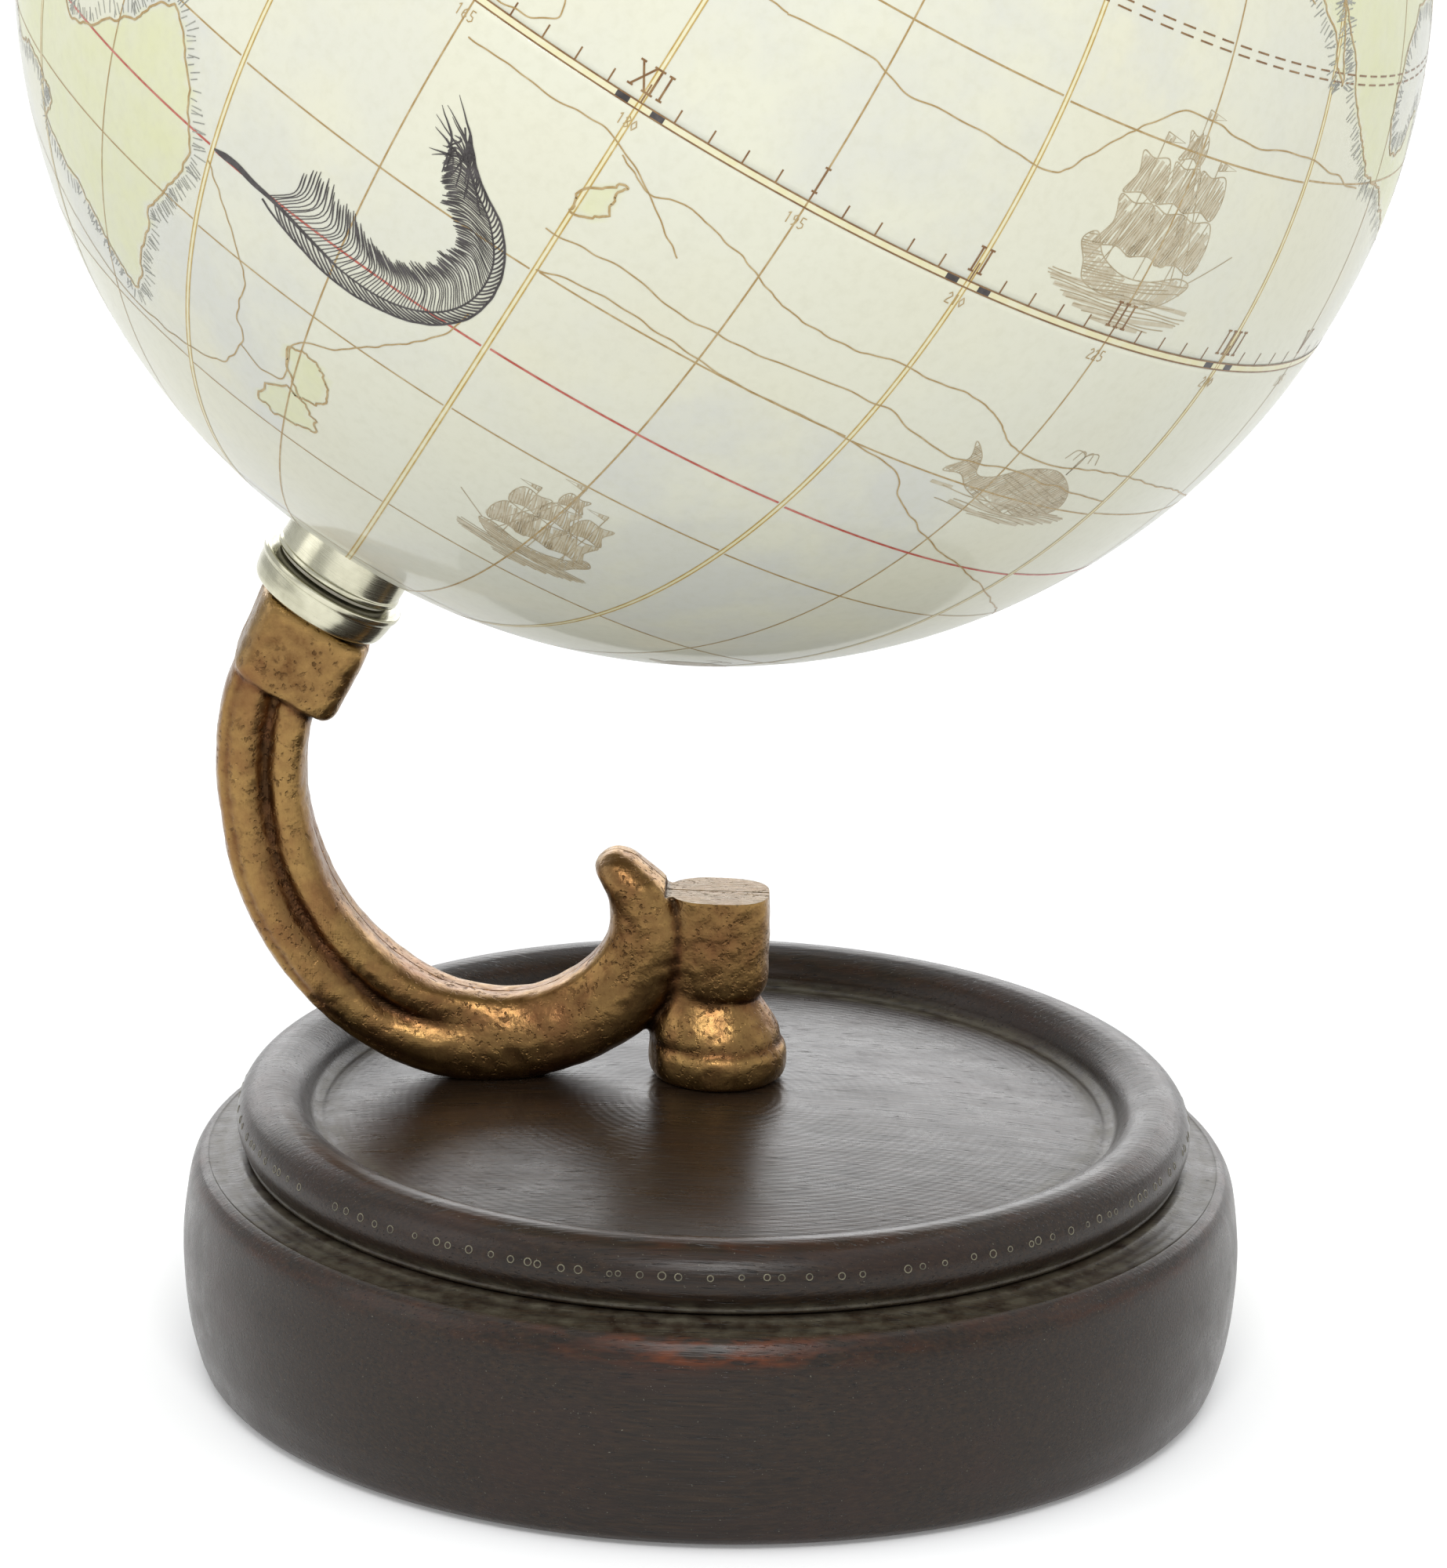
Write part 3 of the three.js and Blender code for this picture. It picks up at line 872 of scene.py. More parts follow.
@dataclass
class Base:
    """Turned base: a bulged drum, a tier with a rounded rim and a domed dish, and a felt underside."""

    layout: Layout
    steps: int = 192
    foot_z: float = 0.8
    foot_radius: float = 74.6
    shoulder_radius: float = 75.5
    shoulder_z: float = 31.6
    bead_centre: tuple[float, float] = (64.5, 38.2)
    bead_radius: float = 5.4
    dish_radius: float = 57.3
    dish_edge: float = 38.8
    dish_middle: float = 41.9
    felt_gap: float = 0.3
    ring_count: int = 150
    ring_radius: float = 0.5
    ring_wire: float = 0.1
    rubbed_side: float = 272.0  # degrees round the base where hands have rubbed it most
    rubbed_spread: float = 11.0

    def dish_height(self, radius: np.ndarray) -> np.ndarray:
        """Height of the domed dish: it falls from its middle with the square of the radius."""
        return self.dish_middle - (self.dish_middle - self.dish_edge) * (radius / self.dish_radius) ** 2

    def drum_profile(self) -> np.ndarray:
        """Drum from its felt recess round the bulged side to the flat under the tier.

        Returns:
            Points as (radius, height).
        """
        recess = self.layout.felt_radius + self.felt_gap
        roof = self.layout.felt_top + self.felt_gap
        under = eased([(0, roof), (recess, roof), (recess, self.foot_z),
                       (self.foot_radius - 0.9, self.foot_z), (self.foot_radius, self.foot_z + 1.0),
                       (75.2, 3.2)], 0.35)
        side = through([(75.2, 3.2), (76.5, 8), (77.3, 14), (self.layout.drum_radius - 0.05, 20.5),
                        (77.0, 26.5), (76.4, 29.8), (self.shoulder_radius, self.shoulder_z),
                        (74.7, 32.35)], 40)
        ledge = eased([(74.7, 32.35), (74.1, 32.6), (73.9, 32.42), (71.6, 32.75), (70.1, 33.1),
                       (69.6, self.layout.drum_top), (0, self.layout.drum_top)], 0.4)
        return filled(np.vstack([under, side[1:], ledge[1:]]), 1.5)

    def tier_profile(self) -> np.ndarray:
        """Tier from its flat foot round the rim and down into the domed dish.

        Returns:
            Points as (radius, height).
        """
        foot = self.layout.tier_bottom
        under = eased([(0, foot), (68.4, foot), (68.7, foot + 0.5), (68.5, foot + 0.9)], 0.2)
        rim = arc(self.bead_centre, self.bead_radius, -34, 166, 46)
        radius = np.linspace(self.dish_radius, 0, 60)
        dome = np.stack([radius, self.dish_height(radius)], axis=1)
        moat = eased([tuple(rim[-1]), (58.6, 38.75), (57.7, 38.5), tuple(dome[1])], 0.5)
        return filled(np.vstack([under, rim, moat[1:-1], dome[1:]]), 1.5)

    def build(self, wood: bpy.types.Material, felt: bpy.types.Material, wax: bpy.types.Material) -> None:
        """Build and dress the wood, the felt and the row of wax rings.

        Args:
            wood: Finish of the drum and the tier.
            felt: Finish of the pad.
            wax: Finish of the rings.
        """
        drum = self.drum_profile()
        angle = np.linspace(0, 2 * np.pi, self.steps, endpoint=False)
        off_side = angle - math.radians(self.rubbed_side)
        front = np.exp(-(off_side / math.radians(self.rubbed_spread)) ** 2)[None, :]
        rub = near(drum, (76.2, 30.2, 1.5), (75.0, 31.9, 0.9))[:, None] * (0.16 + front)
        hollow = near(drum, (69.6, 33.2, 1.7), (72.4, 32.7, 1.2), (73.8, 32.4, 0.5)) * 0.9
        piece = lathe("turned_drum", drum, self.steps, painted={"rubbed": rub, "hollow": hollow})
        dress(piece, wood, Body.STAND, Slot.WOOD, "base_drum")

        tier = self.tier_profile()
        crown = near(tier, (66.5, 43.3, 1.8), (60.8, 42.2, 1.2))[:, None] * (0.12 + 0.14 * front)
        hollow = near(tier, (58.1, 38.7, 1.3), (56.0, 39.0, 1.4), (68.8, 34.6, 0.9)) * 0.9
        piece = lathe("turned_tier", tier, self.steps, painted={"rubbed": crown, "hollow": hollow})
        dress(piece, wood, Body.STAND, Slot.WOOD, "base_tier")

        r, top = self.layout.felt_radius - 0.3, self.layout.felt_top
        pad = filled(eased([(0, 0), (r, 0), (r, top), (0, top)], 0.5), 2.0)
        piece = lathe("felt_underside", pad, self.steps)
        points, normals = read_mesh(piece.data)[:2]
        edge = np.clip(np.hypot(points[:, 0], points[:, 1]) / r * 8 - 7, 0, 1)
        points -= normals * (edge * 0.12 * (1 + ripple(points, 2.2, 5)))[:, None]
        points[:, 2] = np.maximum(points[:, 2], 0)
        piece.data.vertices.foreach_set("co", (points * MM).astype(np.float32).ravel())
        dress(piece, felt, Body.STAND, Slot.FELT, "felt_pad")
        dress(self.wax_rings(), wax, Body.STAND, Slot.WOOD)

    def wax_rings(self) -> bpy.types.Object:
        """Row of small wax rings pressed round the outside of the rim.

        Each ring is a torus of a few dozen faces laid on the rim's surface: a circle of wire round a
        circle in the plane of the surface's tangents, at an uneven spacing, height and size.

        Returns:
            The piece.
        """
        rng = np.random.default_rng(11)
        n = self.ring_count
        turn = (np.arange(n) + rng.uniform(-0.34, 0.34, n)) * 2 * np.pi / n
        lean = np.radians(15 + 2.2 * ripple(turn[:, None], 1.7, 3) + rng.uniform(-1.2, 1.2, n))
        keep = rng.uniform(size=n) > 0.2
        turn, lean = turn[keep], lean[keep]
        size = self.ring_radius * rng.uniform(0.75, 1.15, keep.sum())
        out = np.stack([np.cos(turn) * np.cos(lean), np.sin(turn) * np.cos(lean), np.sin(lean)], 1)
        wide = np.stack([-np.sin(turn), np.cos(turn), np.zeros_like(turn)], 1)
        tall = np.cross(out, wide)
        seat = self.bead_radius * out
        seat[:, :2] += self.bead_centre[0] * np.stack([np.cos(turn), np.sin(turn)], 1)
        seat[:, 2] += self.bead_centre[1]
        u = np.linspace(0, 2 * np.pi, 10, endpoint=False)[:, None]
        v = np.linspace(0, 2 * np.pi, 4, endpoint=False)[None, :]
        reach = size[:, None, None] + self.ring_wire * np.cos(v)
        points = (seat[:, None, None] + (reach * np.cos(u))[..., None] * wide[:, None, None]
                  + (reach * np.sin(u))[..., None] * tall[:, None, None]
                  + (0.05 * np.sin(v) * np.ones_like(u))[..., None] * out[:, None, None])
        i, j = np.meshgrid(np.arange(10), np.arange(4), indexing="ij")
        k, m = (i + 1) % 10, (j + 1) % 4
        quads = np.stack([i * 4 + j, k * 4 + j, k * 4 + m, i * 4 + m], -1).reshape(-1, 4)
        faces = (quads[None] + 40 * np.arange(len(turn))[:, None, None]).reshape(-1, 4)
        return make_piece("wax_rings", points.reshape(-1, 3), faces)


# ---- arm ----


@dataclass
class Arm:
    """Cast arm: a square sleeve under the axle, a fluted bow, a thumb, a block and a turned foot.

    The parts are skinned one by one, fused by a remesh, eased like a casting, filed flat on top, and
    parted along the middle plane with a seam that opens here and there.
    """

    layout: Layout
    base: Base
    depth: float = 6.5  # half of the bow's depth
    sleeve_top: float = 114.75  # south of the ball's centre
    sleeve_length: float = 12.9
    sleeve_depth: float = 8.0
    block_top: float = 70.1
    foot_bottom: float = 41.9
    voxel: float = 0.36
    seam_half_width: float = 0.34
    seam_depth: float = 1.0

    def bow(self) -> np.ndarray:
        """Sections of the bow and thumb.

        Outer and inner edge curves run side by side. Each section spans from one to the other in the
        arm's plane, and its closed outline blends from a fluted one at the sleeve, through a D in the
        belly, to an oval at the thumb.

        Returns:
            Points as (section, point, 3).
        """
        outer = through([
            (-70.6, 107), (-73.7, 98), (-74.4, 90), (-73.9, 82), (-72.0, 72), (-68.2, 62.6), (-62.8, 54.6),
            (-55, 47.2), (-46, 42.3), (-37, 40.2), (-28.5, 40.6), (-20, 43.2), (-12.5, 47.4), (-7.4, 53.0),
            (-5.2, 59.5), (-5.2, 66.0), (-7.9, 71.0), (-11.7, 74.4), (-14.4, 76.5)], 150)
        inner = through([
            (-58.4, 103.5), (-60.0, 97), (-61.2, 90), (-60.9, 83), (-59.2, 75.2), (-55.8, 68), (-51, 62),
            (-45.6, 57.5), (-40.5, 54.8), (-35, 53.6), (-29, 53.6), (-24.2, 55.3), (-20, 58.2), (-17.2, 61.6),
            (-16.2, 65), (-16.6, 68.6), (-17.8, 71.3), (-18.7, 73.4), (-18.3, 75.4)], 150)
        fluted = [
            (-1.0, 0.0), (-0.985, 0.42), (-0.92, 0.7), (-0.82, 0.83), (-0.71, 0.84), (-0.62, 0.97),
            (-0.42, 1.04), (-0.2, 1.0), (-0.05, 0.88), (0.07, 0.75), (0.18, 0.74), (0.29, 0.88),
            (0.45, 0.99), (0.66, 1.0), (0.88, 0.88), (1.0, 0.5)]
        belly = [
            (-1.0, 0.0), (-0.98, 0.34), (-0.9, 0.6), (-0.76, 0.8), (-0.58, 0.93), (-0.38, 1.0),
            (-0.18, 1.03), (0.0, 1.02), (0.16, 0.99), (0.32, 0.94), (0.48, 0.87), (0.64, 0.78),
            (0.79, 0.68), (0.91, 0.57), (0.985, 0.44), (1.0, 0.22)]
        oval = [
            (-1.0, 0.0), (-0.99, 0.3), (-0.95, 0.55), (-0.86, 0.76), (-0.72, 0.9), (-0.54, 0.98),
            (-0.34, 1.01), (-0.14, 1.02), (0.06, 1.02), (0.24, 1.0), (0.42, 0.95), (0.58, 0.88),
            (0.74, 0.77), (0.87, 0.62), (0.96, 0.4), (1.0, 0.18)]
        halves = np.array([fluted, belly, oval])
        mirrored = halves[:, :0:-1] * np.array([1, -1])
        outlines = np.stack([through(np.vstack([h, [[1.0, 0.0]], m]), 128, True)
                             for h, m in zip(halves, mirrored)])
        t = np.linspace(0, 1, len(outer))
        stations = np.array([0, 0.4, 0.52, 0.72, 0.86, 1.0])
        to_belly = np.interp(t, stations, [0, 0, 1, 1, 0, 0])
        to_oval = np.interp(t, stations, [0, 0, 0, 0, 1, 1])
        shares = np.stack([1 - to_belly - to_oval, to_belly, to_oval])
        outline = np.einsum("kt,kpc->tpc", shares, outlines)
        taper = np.interp(t, [0, 0.3, 0.55, 0.78, 0.9, 0.97, 1], [0.97, 0.97, 1, 0.97, 0.86, 0.62, 0.3])
        half_depth = self.depth * taper
        middle, reach = (outer + inner) / 2, (inner - outer) / 2
        pinch = np.interp(t, [0, 0.97, 1], [1, 1, 0.55])[:, None, None]
        plane = middle[:, None] + outline[..., :1] * reach[:, None] * pinch
        y = self.layout.arm_y + outline[..., 1] * half_depth[:, None]
        return np.stack([plane[..., 0], y, plane[..., 1]], axis=-1)[:, ::-1]

    def sleeve(self) -> np.ndarray:
        """Sections of the sleeve: rounded rectangles that widen a little on their way down the axle.

        Returns:
            Points as (section, point, 3).
        """
        south = np.array([0.0, 0.25, 0.8, 2, 5, 8, 11, 12, 12.6, 12.9]) / 12.9 * self.sleeve_length
        angle = np.linspace(0, 2 * np.pi, 72, endpoint=False)
        c, s = np.cos(angle), np.sin(angle)
        square = np.abs(c) ** 5 + np.abs(s) ** 5
        x, y = c / square**0.2, s / square**0.2
        ease = np.interp(south, [0, 0.3, 0.9, 11.4, 12.4, self.sleeve_length], [0.6, 0.25, 0, 0, 0.45, 1.3])
        rows = []
        for distance, inset in zip(south, ease):
            share = distance / self.sleeve_length
            low, high = -8.1 + 1.7 * share + inset, 9.9 + 1.0 * share - inset
            across = (low + high) / 2 + x * (high - low) / 2
            depth = y * (self.sleeve_depth - inset)
            rows.append(self.layout.on_axle(self.sleeve_top + distance, across, depth))
        return np.stack(rows)[:, ::-1]

    def block(self) -> np.ndarray:
        """Sections of the block: soft squares that pull in to the neck below.

        Returns:
            Points as (section, point, 3).
        """
        stations = np.array([
            (54.0, 4.6, 4.4), (54.7, 6.1, 5.5), (55.6, 7.1, 6.3), (57.4, 7.5, 6.6), (60.5, 7.5, 6.6),
            (64, 7.5, 6.5), (68, 7.45, 6.35), (70.0, 7.4, 6.2), (71.5, 7.3, 6.0)])
        s = through(stations, 40)
        angle = np.linspace(0, 2 * np.pi, 72, endpoint=False)
        c, n = np.cos(angle), np.sin(angle)
        soft = (np.abs(c) ** 2.6 + np.abs(n) ** 2.6) ** (1 / 2.6)
        x = -0.25 + s[:, 1:2] * c / soft
        y = self.layout.arm_y + s[:, 2:3] * n / soft
        return np.stack([x, y, np.repeat(s[:, :1], 72, axis=1)], axis=-1)

    def foot(self) -> np.ndarray:
        """Sections of the foot: a rounded disc, a tooled groove and a neck like a bell.

        Returns:
            Points as (section, point, 3).
        """
        z = self.foot_bottom
        profile = eased([
            (8.8, z), (9.7, z + 0.25), (10.25, z + 2.2), (10.2, z + 4.2), (9.75, z + 5.25), (9.0, z + 5.4),
            (9.15, z + 5.9), (8.95, z + 7.2), (7.9, z + 9.2), (6.4, z + 11.4), (5.6, z + 12.8),
            (5.6, z + 16)], 0.7, 6)
        angle = np.linspace(0, 2 * np.pi, 72, endpoint=False)
        web = np.interp(profile[:, 1], [z + 4.6, z + 6, z + 9, z + 13, z + 16],
                        [0, 0.9, 2.3, 3.4, 3.6])[:, None]
        reach = profile[:, :1] + web * np.clip(-np.cos(angle), 0, 1) ** 1.5
        x = reach * np.cos(angle)
        y = self.layout.arm_y + reach * np.sin(angle)
        return np.stack([x, y, np.repeat(profile[:, 1:], 72, axis=1)], axis=-1)

    def fused(self) -> bpy.types.Object:
        """Fuse the overlapping parts by a fine remesh.

        Returns:
            One closed casting.
        """
        points, faces, count = [], [], 0
        for sections in (self.bow(), self.sleeve(), self.block(), self.foot()):
            p, f = lofted(sections)
            points.append(p)
            faces += [[i + count for i in face] for face in f]
            count += len(p)
        piece = make_piece("arm_casting", np.vstack(points), faces)
        remesh = piece.modifiers.new("fuse", "REMESH")
        remesh.mode = "VOXEL"
        remesh.voxel_size = self.voxel * MM
        baked = bpy.data.meshes.new_from_object(piece.evaluated_get(bpy.context.evaluated_depsgraph_get()))
        piece.modifiers.clear()
        piece.data = baked
        return piece

    def dented(self, piece: bpy.types.Object) -> None:
        """Ease the casting's inner corners, give it hand-worked unevenness, and file its faces flat.

        Args:
            piece: The fused casting, changed in place.
        """
        points, normals, edges = read_mesh(piece.data)
        soft = relaxed(points, edges, 10)
        crisp = np.clip((points[:, 2] - self.block_top + 0.9) / 0.6, 0, 1) * (points[:, 0] > -9)
        points = points + (soft - points) * (1 - crisp)[:, None]
        piece.data.vertices.foreach_set("co", (points * MM).astype(np.float32).ravel())
        piece.data.update()
        points, normals, edges = read_mesh(piece.data)
        wander = 0.13 * ripple(points, 9.0, 21) + 0.05 * ripple(points, 3.4, 22)
        points = points + normals * wander[:, None]
        top = (points[:, 0] > -8.2) & (points[:, 2] > self.block_top)
        points[top, 2] = self.block_top
        dish = self.base.dish_height(np.hypot(points[:, 0], points[:, 1]))
        points[:, 2] = np.maximum(points[:, 2], dish + 0.02)
        piece.data.vertices.foreach_set("co", (points * MM).astype(np.float32).ravel())
        piece.data.update()

    def paint(self, piece: bpy.types.Object) -> None:
        """Paint how proud each spot stands, and where the file has been.

        Relief is the distance of a spot above the same spot on a much smoothed copy.

        Args:
            piece: The casting.
        """
        points, normals, edges = read_mesh(piece.data)
        proud = ((points - relaxed(points, edges, 60)) * normals).sum(axis=1)
        fine = ((points - relaxed(points, edges, 12)) * normals).sum(axis=1)
        relief = np.clip(0.52 + 0.7 * proud + 3.0 * fine, 0, 1)
        south = -(points - self.layout.centre) @ self.layout.axle
        flank = np.clip((normals @ np.array([-0.87, -0.2, 0.5]) - 0.55) * 4, 0, 1)
        filed = flank * (south < self.sleeve_top + self.sleeve_length - 1) * 0.5
        on_block = (points[:, 0] > -8.5) & (points[:, 2] > self.block_top - 0.05)
        filed = np.maximum(filed, on_block * (normals[:, 2] > 0.8))
        for key, values in (("relief", relief), ("filed", filed)):
            layer = piece.data.attributes.new(key, "FLOAT", "POINT")
            layer.data.foreach_set("value", values.astype(np.float32))

    def half(self, piece: bpy.types.Object, name: str, side: int) -> bpy.types.Object:
        """Cut one half off the casting along the middle plane and open its seam.

        Rim points of the cut sink into the metal by a depth that comes and goes along the seam.

        Args:
            piece: The whole casting.
            name: Name of the half.
            side: -1 for the front half, 1 for the rear half.

        Returns:
            The half.
        """
        y = self.layout.arm_y
        shape = bmesh.new()
        shape.from_mesh(piece.data)
        for offset, clear in ((0.0, True), (side * self.seam_half_width, False)):
            bmesh.ops.bisect_plane(
                shape, geom=shape.verts[:] + shape.edges[:] + shape.faces[:], dist=1e-6,
                plane_co=(0, (y + offset) * MM, 0), plane_no=(0, side, 0), clear_inner=clear)
        shape.normal_update()
        mesh = bpy.data.meshes.new(name)
        shape.to_mesh(mesh)
        points, normals = read_mesh(mesh)[:2]
        rim = np.abs(points[:, 1] - y) < 0.01
        flat = points[:, [0, 2]]
        opening = np.clip(0.3 + 1.3 * ripple(flat, 11.0, 8) + 0.9 * ripple(flat, 2.6, 9), 0.05, 1)
        sink = normals.copy()
        sink[:, 1] = 0
        sink /= np.linalg.norm(sink, axis=1, keepdims=True).clip(1e-6)
        points -= sink * (rim * opening * self.seam_depth)[:, None]
        caps = bmesh.ops.holes_fill(shape, edges=[e for e in shape.edges if e.is_boundary], sides=0)["faces"]
        for face in caps:
            face.smooth = False
        bmesh.ops.triangulate(shape, faces=caps)
        shape.to_mesh(mesh)
        shape.free()
        mesh.vertices.foreach_set("co", (points * MM).astype(np.float32).ravel())
        relief = np.empty(len(points), np.float32)
        mesh.attributes["relief"].data.foreach_get("value", relief)
        relief *= 1 - rim * np.clip(opening * 1.3, 0, 1)
        mesh.attributes["relief"].data.foreach_set("value", relief.astype(np.float32))
        mesh.update()
        cut = bpy.data.objects.new(name, mesh)
        bpy.context.scene.collection.objects.link(cut)
        return cut

    def build(self, bronze: bpy.types.Material) -> None:
        """Build and dress both halves of the casting.

        Args:
            bronze: Finish of the casting.
        """
        whole = self.fused()
        self.dented(whole)
        self.paint(whole)
        for name, side, node in (("arm_casting_front", -1, "arm_front_half"),
                                 ("arm_casting_rear", 1, "arm_rear_half")):
            dress(self.half(whole, name, side), bronze, Body.STAND, Slot.BRONZE, node)
        bpy.data.objects.remove(whole)


# ---- axle, collar and finial ----


@dataclass
class AxleFittings:
    """Lathe-turned parts on the tilted axle, with heights measured along it from the ball's centre."""

    layout: Layout
    steps: int = 128
    bore: float = 3.3

    def turned(self, name: str, profile: np.ndarray, dull: np.ndarray | None = None) -> bpy.types.Object:
        """Turn a part about the axle.

        Args:
            name: Name of the piece.
            profile: Its outline.
            dull: How much each profile point is darkened to olive.

        Returns:
            The piece.
        """
        profile = filled(profile, 0.5)
        dull = np.zeros(len(profile)) if dull is None else dull
        return lathe(name, profile, self.steps, self.layout.axle_frame,
                     {"step": travelled(profile), "hollow": dull})

    def neck(self) -> bpy.types.Object:
        """Neck that the ball sits on: a straight band between two fine lips.

        Returns:
            The piece.
        """
        p = eased([
            (6.8, -108.3), (9.75, -108.3), (10.0, -108.0), (10.0, -107.35), (9.82, -107.2), (9.82, -102.6),
            (10.0, -102.3), (10.0, -96.5), (6.8, -96.5), (6.8, -108.3)], 0.25)
        p = filled(p, 0.5)
        return self.turned("collar_neck", p, near(p, (10.0, -101.2, 0.9), (9.9, -108.3, 0.3)) * 0.6)

    def ring(self) -> bpy.types.Object:
        """Fixed ring below the neck: a rounded lip over a bowl that narrows to the sleeve.

        Returns:
            The piece.
        """
        p = eased([
            (self.bore, -114.4), (9.5, -114.4), (10.2, -114.1), (10.55, -113.5), (10.85, -112.0),
            (11.0, -110.35), (11.3, -110.15), (11.38, -109.2), (self.bore, -109.2), (self.bore, -114.4)], 0.3)
        p = filled(p, 0.5)
        return self.turned("collar_ring_bowl", p, near(p, (10.5, -109.2, 0.5), (9.6, -109.2, 0.9)) * 0.8)

    def finial(self) -> bpy.types.Object:
        """Cap nut that closes the axle at the ball's top: a flange, a cove and a dome.

        Returns:
            The piece.
        """
        outside = eased([
            (self.bore, 106.3), (6.7, 106.3), (7.0, 106.7), (7.0, 108.7), (6.5, 109.3), (5.4, 109.8),
            (5.1, 110.8), (5.4, 112.6)], 0.5)
        p = np.vstack([[(0, 114.5), (self.bore, 113.5)], outside, arc((0, 112.6), 5.38, 3, 90, 24)])
        p[-1, 0] = 0.0
        return self.turned("finial_cap_nut", p, near(filled(p, 0.5), (5.2, 110.2, 0.8)) * 0.7)

    def washer(self, name: str, outer: float, low: float, high: float) -> bpy.types.Object:
        """Flat washer with its edges broken."""
        b = self.bore
        return self.turned(name, eased([(b, low), (outer, low), (outer, high), (b, high), (b, low)], 0.12))

    def build(self, metal: bpy.types.Material, steel: bpy.types.Material, nylon: bpy.types.Material) -> None:
        """Build and dress the fittings.

        Args:
            metal: Finish of the neck, ring and finial.
            steel: Finish of the washers.
            nylon: Finish of the thrust washer.
        """
        dress(self.neck(), metal, Body.GLOBE, Slot.COLLAR, "globe_collar")
        dress(self.ring(), metal, Body.STAND, Slot.COLLAR, "collar_ring")
        dress(self.finial(), metal, Body.STAND, Slot.COLLAR, "north_finial")
        plate = self.washer("top_plate_washer", 7.5, 103.3, 104.3)
        dress(plate, steel, Body.STAND, Slot.STEEL, "top_washer")
        split = self.washer("top_split_washer", 5.6, 104.6, 106.0)
        dress(split, steel, Body.STAND, Slot.STEEL, "top_spring_washer")
        thrust = self.washer("thrust_disc", 9.0, -108.95, -108.45)
        dress(thrust, nylon, Body.STAND, Slot.NYLON, "thrust_washer")


# ---- ball and its map ----


